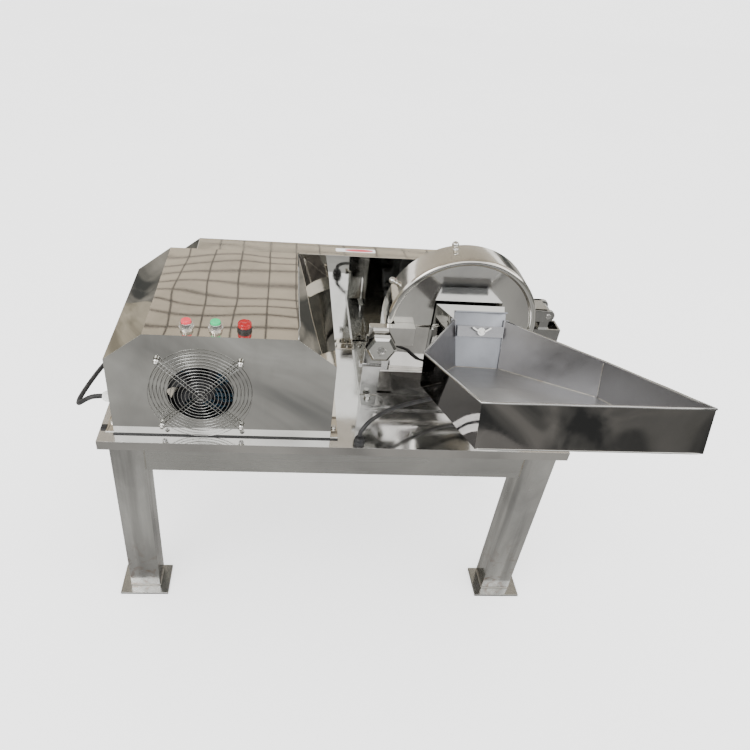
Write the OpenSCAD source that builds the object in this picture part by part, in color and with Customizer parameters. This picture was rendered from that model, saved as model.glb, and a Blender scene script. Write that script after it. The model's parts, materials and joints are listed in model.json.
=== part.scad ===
// Hammer mill on a table: motor cover, belt guard, split mill, inlet chute,
// slide gate and feed tray. Units are millimetres, +Z is up, +Y is the back.

/* [Table] */
// Height of the table top above the floor
table_height = 485; // [440:5:540]
// Length of the table top, left to right
table_length = 1000; // [980:5:1060]
// Depth of the table top, front to back
table_depth = 490; // [480:5:540]
// Height of the folded lip round the table top
lip_height = 22; // [16:1:28]
// Width of a leg seen from the front
leg_width = 70; // [60:1:80]
// Depth of a leg, front to back
leg_depth = 60; // [50:1:70]
// Depth of the rails under the table top
rail_height = 58; // [45:1:70]
// How far a foot plate stands out past its leg
foot_margin = 22; // [16:1:23]

/* [Motor cover] */
// Length of the motor cover, left to right
cover_length = 448; // [440:1:456]
// Height of the motor cover and the belt guard
cover_height = 249; // [244:1:256]
// Width taken off each top corner of the cover
chamfer_width = 78; // [60:1:84]
// Height taken off each top corner of the cover
chamfer_height = 60; // [45:1:66]
// Outer radius of the wire fan guard
guard_radius = 102; // [98:1:104]
// Number of rings in the wire fan guard
guard_rings = 14; // [8:1:16]
// Radius of the air opening in the cover's front
fan_opening = 66; // [60:1:72]

/* [Mill] */
// Outside radius of the round mill cover
drum_radius = 165; // [163:0.5:168]
// Distance between the holes of the button row
button_pitch = 55; // [45:1:60]
// Number of slots in the screen
screen_slots = 22; // [10:1:26]
// Length of a hammer from its pin to its tip
hammer_reach = 60; // [45:1:64]

/* [Feed tray] */
// Tilt of the tray, front end up, in degrees
tray_tilt = 15; // [12:0.5:17]
// Height of the tray's walls
tray_wall = 78; // [70:1:82]
// Radius of the rolled rim round the tray
rim_radius = 4; // [3:0.5:5]

/* [Hidden] */
$fn = 48;
sheet = 2;
e = 0.01;
tray_right = 1037;
tray_front = 374;
TH = table_height;
leg_side = 23;
leg_front = 3;
cover_x0 = 32;
cover_x1 = cover_x0 + cover_length;
cover_y0 = 25;
wall_y = 392;
guard_y1 = 450;
guard_x0 = 92;
guard_x1 = 870;
fan_x = 213;
fan_z = TH + 111;
axis_x = 758;
axis_z = TH + 192;
drum_y0 = 180;
drum_y1 = 250;
house_x0 = axis_x - drum_radius;
house_x1 = axis_x + drum_radius;
hinge_x = axis_x + 190;
hinge_z = axis_z + 35;
motor_x = 256;
motor_z = TH + 112;
pin_circle = 75;
knob_x = 584;
knob_z = axis_z - 36;
tray_y = 95;
tray_z = TH + 247;
// Tray corners from the mouth round the left: across, up the tray and height off the rim's plane.
tray_rim = [[722, -20, 14], [625, 151, -3], [668, tray_front, 0], [tray_right, tray_front - 2, 0],
    [956, 166, -2], [821, -20, 14]];
tray_floor = [[748, -20, -tray_wall - 4], [625, 151, 12 - tray_wall], [668, tray_front, -tray_wall],
    [tray_right, tray_front - 2, -tray_wall], [958, 166, 3 - tray_wall], [782, -20, -tray_wall - 4]];
tray_middle = [800, 180, 0];
// The slide gate leans back from the tray's own normal, its foot ahead of its head.
gate_lean = 17;
gate_back = 8;
gate_foot = -tray_wall - 6;
gate_head = 17;
screw_holes = [[-80, -80], [80, -80], [80, 80], [-80, 80]];
// Where the mains lead leaves the cover's left side.
gland_y = 50;
gland_z = TH + 79;
// Where the gate switch's lead goes down through the table.
lead_x = 541;
lead_y = 14;
// The design is drawn from the table's front left corner, then centred.
shift_x = -(tray_right + rim_radius) / 2;
shift_y = -((tray_y - tray_front * cos(tray_tilt) - tray_wall * sin(tray_tilt))
    + (table_depth - leg_front + foot_margin)) / 2;

module place() { translate([shift_x, shift_y, 0]) children(); }

// A box from corner a to corner b.
module block(a, b) { translate(a) cube(b - a); }

// A cylinder along Y, from y0 to y1, about the point (x, z).
module ycyl(x, z, r, y0, y1) {
    translate([x, y1, z]) rotate([90, 0, 0]) cylinder(r = r, h = y1 - y0);
}

// A drawing in X and Z, made thick along Y from y0 to y1.
module yslab(y0, y1) { translate([0, y1, 0]) rotate([90, 0, 0]) linear_extrude(y1 - y0) children(); }

// A ring along Y.
module yring(x, z, ro, ri, y0, y1) {
    difference() {
        ycyl(x, z, ro, y0, y1);
        ycyl(x, z, ri, y0 - 1, y1 + 1);
    }
}

// The tilted frame of the feed tray: X right, Y down the floor to the mill, Z off the floor.
module tray_frame() { translate([0, tray_y, tray_z]) rotate([-tray_tilt, 0, 0]) children(); }

// The frame of the slide gate: Y through the gate, Z up along it.
module gate_frame() { tray_frame() translate([0, gate_back, 0]) rotate([-gate_lean, 0, 0]) children(); }

// ---- table -------------------------------------------------------------
module table_top() color([0.75, 0.75, 0.73]) place() difference() {
    block([0, 0, TH - lip_height], [table_length, table_depth, TH]);
    block([sheet, sheet, TH - lip_height - 1], [table_length - sheet, table_depth - sheet, TH - sheet]);
    block([house_x0 + 12, 188, TH - 5], [house_x1 - 12, 246, TH + 1]);
    for (p = foot_bolts) translate([p[0], p[1], TH - 5]) cylinder(r = 4.5, h = 8);
    translate([lead_x, lead_y, TH - 5]) cylinder(r = 7, h = 8);
}

foot_bolts = [[570, 156], [936, 156], [570, 372], [936, 372]];

module leg(x, y) difference() {
    block([x, y, 6], [x + leg_width, y + leg_depth, TH - sheet]);
    block([x + 3, y + 3, 5], [x + leg_width - 3, y + leg_depth - 3, TH]);
}

leg_xr = table_length - leg_side - leg_width;
leg_yb = table_depth - leg_front - leg_depth;
module table_legs() color([0.62, 0.62, 0.6]) place()
    for (x = [leg_side, leg_xr], y = [leg_front, leg_yb]) leg(x, y);

module tube_box(a, b, along) difference() {
    block(a, b);
    if (along == 0) block(a + [-1, 3, 3], b + [1, -3, -3]);
    if (along == 1) block(a + [3, -1, 3], b + [-3, 1, -3]);
}
rail_z0 = TH - lip_height - rail_height;
module rail_front() color([0.62, 0.62, 0.6]) place() difference() {
    tube_box([leg_side + leg_width, leg_front, rail_z0], [leg_xr, leg_front + 30, TH - sheet], 0);
    translate([lead_x, lead_y, TH - 12]) cylinder(r = 7, h = 15);
}
module rail_back() color([0.62, 0.62, 0.6]) place()
    tube_box([leg_side + leg_width, leg_yb + leg_depth - 30, rail_z0],
        [leg_xr, leg_yb + leg_depth, TH - sheet], 0);
module side_rails() color([0.62, 0.62, 0.6]) place() for (x = [leg_side, leg_xr + leg_width - 30])
    tube_box([x, leg_front + leg_depth, rail_z0], [x + 30, leg_yb, TH - sheet], 1);

// Short chute under the table that hands the meal to a bag or a bin.
spout_x = [house_x0 + 10, house_x1 - 10];
module discharge_spout() color([0.62, 0.62, 0.6]) place() difference() {
    union() {
        block([spout_x[0], 186, TH - 78], [spout_x[1], 248, TH - sheet]);
        block([spout_x[0] - 16, 170, TH - 5], [spout_x[1] + 16, 264, TH - sheet]);
    }
    block([spout_x[0] + 2, 188, TH - 80], [spout_x[1] - 2, 246, TH + 1]);
}

// A foot plate stands out on three sides and ends flush with the leg on the fourth.
module foot_plates() color([0.6, 0.6, 0.58]) place()
    for (x = [leg_side, leg_xr]) {
        block([x - foot_margin, leg_front - foot_margin, 0],
            [x + leg_width + foot_margin, leg_front + leg_depth + 2, 6]);
        block([x - foot_margin, leg_yb - 2, 0],
            [x + leg_width + foot_margin, leg_yb + leg_depth + foot_margin, 6]);
    }

// ---- motor cover and belt guard ---------------------------------------
module cover_profile(d) polygon([
    [cover_x0 + d, 0], [cover_x0 + d, cover_height - chamfer_height - d * 0.4],
    [cover_x0 + chamfer_width + d * 0.4, cover_height - d],
    [cover_x1 - chamfer_width - d * 0.4, cover_height - d],
    [cover_x1 - d, cover_height - chamfer_height - d * 0.4], [cover_x1 - d, 0]]);

button_x = [189, 189 + button_pitch, 189 + 2 * button_pitch];
button_y = cover_y0 + 30;

module motor_cover() color([0.72, 0.71, 0.68]) place() difference() {
    union() {
        translate([0, 0, TH]) yslab(cover_y0, wall_y) cover_profile(0);
        block([cover_x0 - 19, cover_y0 + 6, TH], [cover_x0 + 1, wall_y, TH + sheet]);
        block([cover_x1 - 1, cover_y0 + 6, TH], [cover_x1 + 17, wall_y, TH + sheet]);
    }
    translate([0, 0, TH - e]) yslab(cover_y0 + sheet, wall_y + 1) cover_profile(sheet);
    ycyl(fan_x, fan_z, fan_opening, cover_y0 - 1, cover_y0 + 5);
    for (s = screw_holes)
        ycyl(fan_x + s[0], fan_z + s[1], 2.4, cover_y0 - 1, cover_y0 + 5);
    for (x = button_x) translate([x, button_y, TH + cover_height - 5]) cylinder(r = 11.3, h = 9);
    translate([cover_x0 - 2, gland_y, gland_z]) rotate([0, 90, 0]) cylinder(r = 8.3, h = 8);
}

module guard_profile(d) polygon([
    [guard_x0 + d, 0], [guard_x0 + d, cover_height - chamfer_height - d * 0.4],
    [guard_x0 + chamfer_width + d * 0.4, cover_height - d],
    [guard_x1 - 40 - d * 0.4, cover_height - d],
    [guard_x1 - d, cover_height - 40 - d * 0.4], [guard_x1 - d, 0]]);

module belt_guard() color([0.72, 0.71, 0.68]) place() difference() {
    union() {
        translate([0, 0, TH]) yslab(wall_y, guard_y1) guard_profile(0);
        block([cover_x1 + 17.5, wall_y - 24, TH], [554, wall_y + 1, TH + sheet]);
        block([guard_x0 + 10, guard_y1 - 1, TH], [guard_x1 - 10, guard_y1 + 18, TH + sheet]);
    }
    translate([0, 0, TH - e]) yslab(wall_y + sheet, guard_y1 - sheet) guard_profile(sheet);
    ycyl(motor_x, motor_z, 44, wall_y - 1, wall_y + 5);
    ycyl(axis_x, axis_z, 30, wall_y - 1, wall_y + 5);
}

// ---- cooling fan -------------------------------------------------------
module fan_frame() color([0.05, 0.05, 0.05]) place() {
    yring(fan_x, fan_z, 88, 82, cover_y0 + sheet, cover_y0 + 46);
    yring(fan_x, fan_z, 82.5, fan_opening + 8, cover_y0 + sheet, cover_y0 + 6);
    for (a = [45:90:315]) difference() {
        translate([fan_x, 0, fan_z]) rotate([0, a, 0])
            block([74, cover_y0 + sheet, -9], [122, cover_y0 + 6, 9]);
        ycyl(fan_x, fan_z, 84, cover_y0, cover_y0 + 9);
        for (s = screw_holes)
            ycyl(fan_x + s[0], fan_z + s[1], 2.4, cover_y0 - 1, cover_y0 + 9);
    }
    ycyl(fan_x, fan_z, 27, cover_y0 + 40, cover_y0 + 46);
    for (a = [0:90:270]) translate([fan_x, 0, fan_z]) rotate([0, a + 20, 0])
        block([25, cover_y0 + 41, -3], [83, cover_y0 + 45, 3]);
    ycyl(fan_x, fan_z, 4, cover_y0 + 30, cover_y0 + 41);
}

module fan_rotor() color([0.08, 0.08, 0.09]) place() {
    difference() {
        ycyl(fan_x, fan_z, 29, cover_y0 + 9, cover_y0 + 39);
        ycyl(fan_x, fan_z, 4.05, cover_y0 + 28, cover_y0 + 40);
    }
    for (a = [0:360 / 7:359]) translate([fan_x, 0, fan_z]) rotate([0, a, 0])
        translate([27, cover_y0 + 24, 0]) rotate([38, 0, 0])
            block([0, -13, -1.2], [51, 13, 1.2]);
}

// Rings and two crossed pairs of straight wires, with an eye at each end.
module fan_guard() color([0.85, 0.85, 0.83]) place() {
    for (i = [1:guard_rings]) translate([fan_x, cover_y0 - 9, fan_z]) rotate([90, 0, 0])
        rotate_extrude() translate([guard_radius * i / guard_rings, 0]) circle(r = 1.1, $fn = 8);
    for (a = [45, -45], s = [-4, 4]) translate([fan_x, cover_y0 - 7.2, fan_z]) rotate([0, a, 0])
        translate([-109, 0, s]) rotate([0, 90, 0]) cylinder(r = 1.1, h = 218, $fn = 8);
    for (p = screw_holes)
        yring(fan_x + p[0], fan_z + p[1], 6.5, 2.4, cover_y0 - 9, cover_y0 - 5.4);
}

module fan_screws() color([0.7, 0.7, 0.7]) place() for (p = screw_holes) {
    ycyl(fan_x + p[0], fan_z + p[1], 4.6, cover_y0 - 12.5, cover_y0 - 9);
    ycyl(fan_x + p[0], fan_z + p[1], 2, cover_y0 - 10, cover_y0 + 12);
    yring(fan_x + p[0], fan_z + p[1], 4.5, 2, cover_y0 - 5.4, cover_y0);
    ycyl(fan_x + p[0], fan_z + p[1], 4.4, cover_y0 + 6, cover_y0 + 10);
}

// ---- motor -------------------------------------------------------------
m_y0 = 128;
m_y1 = 318;
motor_foot_x = 83;
module motor_frame() color([0.18, 0.32, 0.42]) place() {
    difference() {
        union() {
            ycyl(motor_x, motor_z, 84, m_y0, m_y1);
            for (a = [0:15:345]) if (a < 240 || a > 300)
                translate([motor_x, 0, motor_z]) rotate([0, -a, 0])
                    block([80, m_y0 + 6, -1.5], [94, m_y1 - 6, 1.5]);
            block([motor_x - 72, m_y0 + 22, TH + 24], [motor_x - 40, m_y1 - 22, motor_z - 40]);
            block([motor_x + 40, m_y0 + 22, TH + 24], [motor_x + 72, m_y1 - 22, motor_z - 40]);
            block([motor_x - 94, m_y0 + 22, TH + 24], [motor_x + 94, m_y0 + 62, TH + 36]);
            block([motor_x - 94, m_y1 - 62, TH + 24], [motor_x + 94, m_y1 - 22, TH + 36]);
        }
        ycyl(motor_x, motor_z, 77, m_y0 - 1, m_y1 + 1);
        for (x = [-motor_foot_x, motor_foot_x], y = [m_y0 + 42, m_y1 - 42])
            translate([motor_x + x, y, TH + 20]) cylinder(r = 5, h = 20);
    }
    for (x = [-80, 80]) block([motor_x + x - 20, m_y0 + 10, TH], [motor_x + x + 20, m_y1 - 10, TH + 24]);
}

module motor_end_shields() color([0.18, 0.32, 0.42]) place() {
    difference() {
        ycyl(motor_x, motor_z, 84, m_y0 - 14, m_y0);
        ycyl(motor_x, motor_z, 17.05, m_y0 - 20, m_y0 + 1);
    }
    difference() {
        union() {
            ycyl(motor_x, motor_z, 84, m_y1, m_y1 + 14);
            ycyl(motor_x, motor_z, 40, m_y1 + 10, m_y1 + 26);
        }
        ycyl(motor_x, motor_z, 17.05, m_y1 - 1, m_y1 + 30);
    }
}

module motor_cowl() color([0.16, 0.28, 0.37]) place() difference() {
    ycyl(motor_x, motor_z, 90, m_y0 - 44, m_y0 + 4);
    ycyl(motor_x, motor_z, 87.5, m_y0 - 41, m_y0 - 14);
    ycyl(motor_x, motor_z, 84, m_y0 - 20, m_y0 + 5);
    for (r = [24:14:80], a = [0:90:270]) translate([motor_x, 0, motor_z]) rotate([0, a, 0])
        block([r, m_y0 - 46, -r * 0.5], [r + 6, m_y0 - 38, r * 0.5]);
}

module motor_stator() color([0.55, 0.35, 0.2]) place() {
    yring(motor_x, motor_z, 77, 52, m_y0 + 30, m_y1 - 30);
    yring(motor_x, motor_z, 72, 54, m_y0 + 12, m_y0 + 30);
    yring(motor_x, motor_z, 72, 54, m_y1 - 30, m_y1 - 12);
}

module motor_terminal_box() color([0.16, 0.28, 0.37]) place()
    block([motor_x + 94, m_y0 + 50, motor_z - 36], [motor_x + 140, m_y0 + 130, motor_z + 36]);

module motor_shaft() color([0.6, 0.6, 0.6]) place() {
    ycyl(motor_x, motor_z, 17, m_y0 - 34, m_y1 + 27);
    ycyl(motor_x, motor_z, 14, m_y1 + 20, guard_y1 - 10);
    ycyl(motor_x, motor_z, 51, m_y0 + 30, m_y1 - 30);
    difference() {
        ycyl(motor_x, motor_z, 26, m_y0 - 34, m_y0 - 18);
        ycyl(motor_x, motor_z, 16, m_y0 - 36, m_y0 - 16);
    }
    for (a = [0:60:300]) translate([motor_x, 0, motor_z]) rotate([0, a, 0])
        block([24, m_y0 - 35, -1.5], [82, m_y0 - 17, 1.5]);
}

// A two-groove belt pulley about (x, z), bored for a shaft of radius bore.
p_y = [412, 430];
module pulley(x, z, r, bore) difference() {
    ycyl(x, z, r, p_y[0] - 10, p_y[1] + 10);
    for (y = p_y) translate([x, y, z]) rotate([90, 0, 0]) rotate_extrude()
        polygon([[r - 10, -4], [r + 1, -7], [r + 1, 7], [r - 10, 4]]);
    ycyl(x, z, bore, p_y[0] - 11, p_y[1] + 11);
    for (a = [45:90:315]) translate([x, 0, z]) rotate([0, a, 0])
        ycyl((r - 10 + bore) / 2 + 1, 0, (r - 10 - bore) / 4, p_y[0] - 11, p_y[1] + 11);
}
motor_pulley_r = 62;
mill_pulley_r = 42;
module motor_pulley() color([0.25, 0.25, 0.26]) place() pulley(motor_x, motor_z, motor_pulley_r, 14);
module mill_pulley() color([0.25, 0.25, 0.26]) place() pulley(axis_x, axis_z, mill_pulley_r, 15);

// The belt's outline: two circles and the band between their outer tangents.
module belt_outline(r1, r2) {
    dx = axis_x - motor_x;
    dz = axis_z - motor_z;
    d = sqrt(dx * dx + dz * dz);
    t = atan2(dz, dx);
    b = acos((r1 - r2) / d);
    translate([motor_x, motor_z]) circle(r = r1);
    translate([axis_x, axis_z]) circle(r = r2);
    polygon([
        [motor_x + r1 * cos(t + b), motor_z + r1 * sin(t + b)],
        [axis_x + r2 * cos(t + b), axis_z + r2 * sin(t + b)],
        [axis_x + r2 * cos(t - b), axis_z + r2 * sin(t - b)],
        [motor_x + r1 * cos(t - b), motor_z + r1 * sin(t - b)]]);
}
module v_belts() color([0.04, 0.04, 0.04]) place() for (y = p_y) yslab(y - 3.4, y + 3.4) difference() {
    belt_outline(motor_pulley_r - 0.5, mill_pulley_r - 0.5);
    belt_outline(motor_pulley_r - 9, mill_pulley_r - 9);
}

// ---- mill rotor --------------------------------------------------------
module mill_shaft() color([0.7, 0.7, 0.7]) place() {
    ycyl(axis_x, axis_z, 17.5, 190, 385);
    ycyl(axis_x, axis_z, 15, 384, guard_y1 - 8);
    ycyl(axis_x, axis_z, 24, 197.5, 232.5);
}

module bearing_housing() color([0.3, 0.33, 0.35]) place() difference() {
    union() {
        block([axis_x - 95, 268, TH], [axis_x + 95, 380, TH + 14]);
        block([axis_x - 22, 274, TH + 12], [axis_x + 22, 374, axis_z - 20]);
        block([axis_x - 70, 312, TH + 12], [axis_x + 70, 328, axis_z - 44]);
        ycyl(axis_x, axis_z, 46, 264, 384);
    }
    ycyl(axis_x, axis_z, 31, 268, 380);
    ycyl(axis_x, axis_z, 22, 260, 390);
    for (x = [-80, 80], y = [284, 364])
        translate([axis_x + x, y, TH - 1]) cylinder(r = 6, h = 20);
}

module mill_bearings() color([0.75, 0.75, 0.76]) place() for (y = [268, 364])
    yring(axis_x, axis_z, 31, 17.55, y, y + 16);

module rotor_discs() color([0.5, 0.5, 0.5]) place() for (y = [192.5, 232.5]) difference() {
    ycyl(axis_x, axis_z, 92, y, y + 5);
    ycyl(axis_x, axis_z, 17.5, y - 1, y + 6);
    for (a = [45:90:315]) translate([axis_x, 0, axis_z]) rotate([0, -a, 0])
        ycyl(pin_circle, 0, 5, y - 1, y + 6);
}

module hammer_pins() color([0.6, 0.6, 0.6]) place() for (a = [45:90:315])
    translate([axis_x, 0, axis_z]) rotate([0, -a, 0]) {
        ycyl(pin_circle, 0, 5, 190.5, 239.5);
        ycyl(pin_circle, 0, 8, 189, 192.5);
    }

// One row of hanging hammers on the pin at angle a; y0 staggers the rows.
module hammer_row(a, y0) color([0.45, 0.43, 0.42]) place()
    translate([axis_x + pin_circle * cos(a), 0, axis_z + pin_circle * sin(a)]) difference() {
        union() {
            for (i = [0:2]) {
                ycyl(0, 0, 13, y0 + 11 * i, y0 + 11 * i + 4);
                block([-13, y0 + 11 * i, -hammer_reach], [13, y0 + 11 * i + 4, 0]);
            }
            ycyl(0, 0, 8, 198.2, 231.8);
        }
        ycyl(0, 0, 5.06, 190, 240);
    }
module hammers_a() hammer_row(45, 199);
module hammers_b() hammer_row(135, 204.5);
module hammers_c() hammer_row(225, 199);
module hammers_d() hammer_row(315, 204.5);

// ---- lower housing -----------------------------------------------------
split_gap = 0.3;
base_plate = 5;
module lower_housing() color([0.6, 0.6, 0.58]) place() difference() {
    union() {
        block([house_x0, drum_y0, TH + base_plate], [house_x1, drum_y0 + 4, axis_z - split_gap]);
        block([house_x0, drum_y1 - 4, TH + base_plate], [house_x1, drum_y1, axis_z - split_gap]);
        for (x = [house_x0, house_x1 - 4])
            block([x, drum_y0, TH + base_plate], [x + 4, drum_y1, axis_z - split_gap]);
        block([house_x0, drum_y0 - 9, TH + 77], [house_x1, drum_y0 + 1, TH + 82]);
    }
    ycyl(axis_x, axis_z, 22, drum_y1 - 6, drum_y1 + 1);
    block([704, drum_y0 - 1, TH + 118], [831, drum_y0 + 5, TH + 182]);
}

// Base plate and foot bars that carry the housing and the bearing housing.
module mill_base() color([0.6, 0.6, 0.58]) place() difference() {
    union() {
        block([house_x0, 128, TH], [house_x1, 388, TH + base_plate]);
        for (x = [554, 932]) block([x, 175, TH], [x + 30, 353, TH + 12]);
        for (x = [554, house_x1 - 7]) block([x, 352, TH], [x + 46, 388, TH + 12]);
        block([554, 130, TH], [629, 176, TH + 12]);
        block([house_x1 - 36, 130, TH], [962, 176, TH + 12]);
    }
    block([house_x0 + 12, 188, TH - 1], [house_x1 - 12, 246, TH + 20]);
    block([axis_x - 95.2, 267.8, TH - 1], [axis_x + 95.2, 380.2, TH + 20]);
    for (p = foot_bolts) translate([p[0], p[1], TH - 1]) cylinder(r = 4.5, h = 20);
}

// Half-round slotted screen on two arched rails.
module screen() color([0.5, 0.5, 0.5]) place() difference() {
    intersection() {
        yring(axis_x, axis_z, 151, 148.5, 184.2, 245.8);
        block([axis_x - 160, 180, axis_z - 160], [axis_x + 160, 250, axis_z - 6]);
    }
    for (i = [0:screen_slots - 1]) translate([axis_x, 0, axis_z])
        rotate([0, 12 + 156 * i / (screen_slots - 1), 0]) block([140, 191, -2], [156, 239, 2]);
}

module hinge_bracket() color([0.6, 0.6, 0.58]) place() difference() {
    union() {
        block([house_x1, 194, axis_z - 42], [hinge_x + 40, 236, axis_z - 2]);
        block([hinge_x - 10, 199, axis_z - 10], [hinge_x + 10, 231, hinge_z]);
        ycyl(hinge_x, hinge_z, 10, 199, 231);
    }
    block([house_x1 + 4, 198, axis_z - 38], [hinge_x - 14, 232, axis_z]);
    block([hinge_x + 14, 198, axis_z - 38], [hinge_x + 36, 232, axis_z]);
    ycyl(hinge_x, hinge_z, 6, 190, 240);
}

module hinge_pin() color([0.7, 0.7, 0.7]) place() ycyl(hinge_x, hinge_z, 6, 186, 244);

// ---- upper cover -------------------------------------------------------
module half_turn(y0) translate([axis_x, y0, axis_z + split_gap]) rotate([90, 0, 0])
    rotate_extrude(angle = 180) children();

module upper_cover() color([0.74, 0.72, 0.68]) place() {
    difference() {
        union() {
            half_turn(drum_y1) polygon([
                [drum_radius - 3, 0], [drum_radius, 0], [drum_radius, 65], [drum_radius - 3, 69],
                [drum_radius - 8, 71], [drum_radius - 13, 69.5], [drum_radius - 16, 66],
                [drum_radius - 16, 62], [drum_radius - 3, 62]]);
            half_turn(drum_y0 + 8) square([drum_radius - 2, 3]);
            half_turn(drum_y1) square([drum_radius - 2, 3]);
        }
        ycyl(axis_x, axis_z, 22, drum_y1 - 4, drum_y1 + 1);
    }
    difference() {
        union() {
            for (y = [188, 234]) {
                block([axis_x + drum_radius - 10, y, axis_z + 16], [hinge_x, y + 8, hinge_z + 11]);
                ycyl(hinge_x, hinge_z, 14, y, y + 8);
            }
            block([axis_x + drum_radius - 14, 188, hinge_z + 11], [hinge_x - 4, 242, hinge_z + 14]);
        }
        ycyl(hinge_x, hinge_z, 6.06, 180, 250);
        ycyl(axis_x, axis_z, drum_radius - 1.5, 180, 250);
    }
}

// A ball knob on the crown and a second one on the left flank.
module cover_knobs() color([0.75, 0.74, 0.72]) place() for (a = [101, 152])
    translate([axis_x, 233, axis_z + split_gap]) rotate([0, 90 - a, 0]) {
        translate([0, 0, drum_radius - 1]) cylinder(r = 3.5, h = 8);
        translate([0, 0, drum_radius + 10]) sphere(r = 7.5);
    }

// Angle welded to the cover's left front; the notch in its foot is open at the bottom.
module cover_lug() color([0.75, 0.75, 0.74]) place() difference() {
    union() {
        block([557, 161, axis_z + 0.6], [656, 178.5, axis_z + 7]);
        block([612, 178, axis_z + 0.6], [656, drum_y0 + 5, axis_z + 7]);
        block([557, 161, axis_z - 38], [656, 166, axis_z + 7]);
    }
    block([knob_x - 9, 155, axis_z - 50], [knob_x + 12, 170, knob_z + 10]);
}

module clamp_post() color([0.6, 0.6, 0.58]) place() difference() {
    union() {
        block([554, 168, TH + 12], [560, 176, knob_z + 16]);
        block([554, 168, TH + 12], [592, 173, TH + 84]);
        block([560, 168, TH + 84], [608, 178, knob_z + 16]);
        block([576, 170, TH + 100], [house_x0 + 16, drum_y0, TH + 118]);
        translate([548, 172, TH + 96]) rotate([0, 90, 0]) cylinder(r = 6, h = 46);
        translate([545, 172, TH + 96]) rotate([0, 90, 0]) cylinder(r = 9, h = 6, $fn = 6);
    }
    ycyl(knob_x, knob_z, 6.05, 160, 185);
}

module clamp_knob() color([0.8, 0.8, 0.79]) place() difference() {
    union() {
        translate([knob_x, 158, knob_z]) rotate([90, 0, 0]) {
            cylinder(r1 = 27, r2 = 34, h = 4, $fn = 6);
            translate([0, 0, 4]) cylinder(r = 34, h = 12, $fn = 6);
            translate([0, 0, 16]) cylinder(r1 = 34, r2 = 27, h = 5, $fn = 6);
        }
        ycyl(knob_x, knob_z, 13, 157, 160.6);
    }
    ycyl(knob_x, knob_z, 9, 130, 139);
    ycyl(knob_x, knob_z, stud_radius, 138, 165);
}

// The stud the knob sits on, which turns in the clamp post.
stud_radius = 6;
module clamp_stud() color([0.7, 0.7, 0.7]) place() ycyl(knob_x, knob_z, stud_radius, 138, 177);

// ---- inlet chute and slide gate ---------------------------------------
// Tapers from a rectangle in the gate's frame, at y = yf, to an upright one at y = yb.
module funnel(xf, zf, yf, xb, zb, yb) hull() {
    gate_frame() block([xf[0], yf, zf[0]], [xf[1], yf + e, zf[1]]);
    block([xb[0], yb - e, zb[0]], [xb[1], yb, zb[1]]);
}

chute_y = drum_y0 - 2.5;
module inlet_chute() color([0.72, 0.72, 0.71]) place() difference() {
    union() {
        funnel([718, 825], [gate_foot - 4, gate_head], 8, [694, 841], [TH + 108, TH + 253], chute_y);
        block([690, chute_y - 2, TH + 104], [845, drum_y0, axis_z - 2]);
    }
    funnel([721, 822], [gate_foot - 1, gate_head - 3], 7, [697, 838], [TH + 111, TH + 250], chute_y - 3);
    block([704, chute_y - 12, TH + 118], [831, drum_y0 + 1, TH + 182]);
}

module gate_guides() color([0.66, 0.66, 0.65]) place() gate_frame() difference() {
    union() {
        yslab(0, 8) polygon([[712, gate_head], [722, gate_head], [722, gate_foot], [815, gate_foot],
            [821, gate_head], [831, gate_head], [828, gate_foot - 6], [710, gate_foot - 6]]);
    }
    block([717.6, 2.2, gate_foot + 0.5], [723, 5.8, gate_head + 2]);
    block([814, 2.2, gate_foot + 0.5], [825.4, 5.8, gate_head + 2]);
}

module slide_gate() color([0.68, 0.68, 0.68]) place() gate_frame() {
    block([718, 2.6, gate_foot + 0.8], [825, 5.4, 33]);
    block([718, -9, 30.2], [825, 5.4, 33]);
}

strap_z = -8;
module gate_strap() color([0.6, 0.6, 0.6]) place() gate_frame() difference() {
    block([724, -6, strap_z - 11], [819, 0, strap_z + 11]);
    ycyl(771.5, strap_z, 4.05, -8, 1);
}

module wing_screw() color([0.75, 0.75, 0.74]) place() gate_frame() {
    ycyl(771.5, strap_z, 4, -16, 2.3);
    ycyl(771.5, strap_z, 8, -13, -6.3);
    for (s = [-1, 1]) translate([771.5 + s * 6, 0, strap_z]) rotate([0, -s * 32, 0])
        block([s > 0 ? 0 : -15, -17, -1.5], [s > 0 ? 15 : 0, -9, 1.5]);
}

// ---- feed tray ---------------------------------------------------------
// A point of the tray's outline, moved towards its middle and raised.
module tray_point(p, inset, lift) {
    spot = [p[0], -p[1], p[2] + lift];
    inward = unit([tray_middle[0] - p[0], p[1] - tray_middle[1], 0]);
    translate(spot + inset * inward) cube(0.1, center = true);
}

// The throat and the pan, each between four corners.
module tray_solid(inset, low, high) for (part = [[0, 1, 4, 5], [1, 2, 3, 4]])
    hull() for (i = part) {
        tray_point(tray_floor[i], inset, low);
        tray_point(tray_rim[i], inset, high);
    }

module feed_tray() color([0.7, 0.7, 0.71]) place() difference() {
    tray_frame() difference() {
        union() {
            tray_solid(0, 0, 0);
            for (i = [0:4]) hull() for (k = [i, i + 1])
                translate([tray_rim[k][0], -tray_rim[k][1], tray_rim[k][2]])
                    sphere(r = rim_radius, $fn = 12);
        }
        tray_solid(1.3 * sheet, sheet, 20);
    }
    gate_frame() block([600, 0, gate_foot - 30], [1060, 60, 60]);
}

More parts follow.
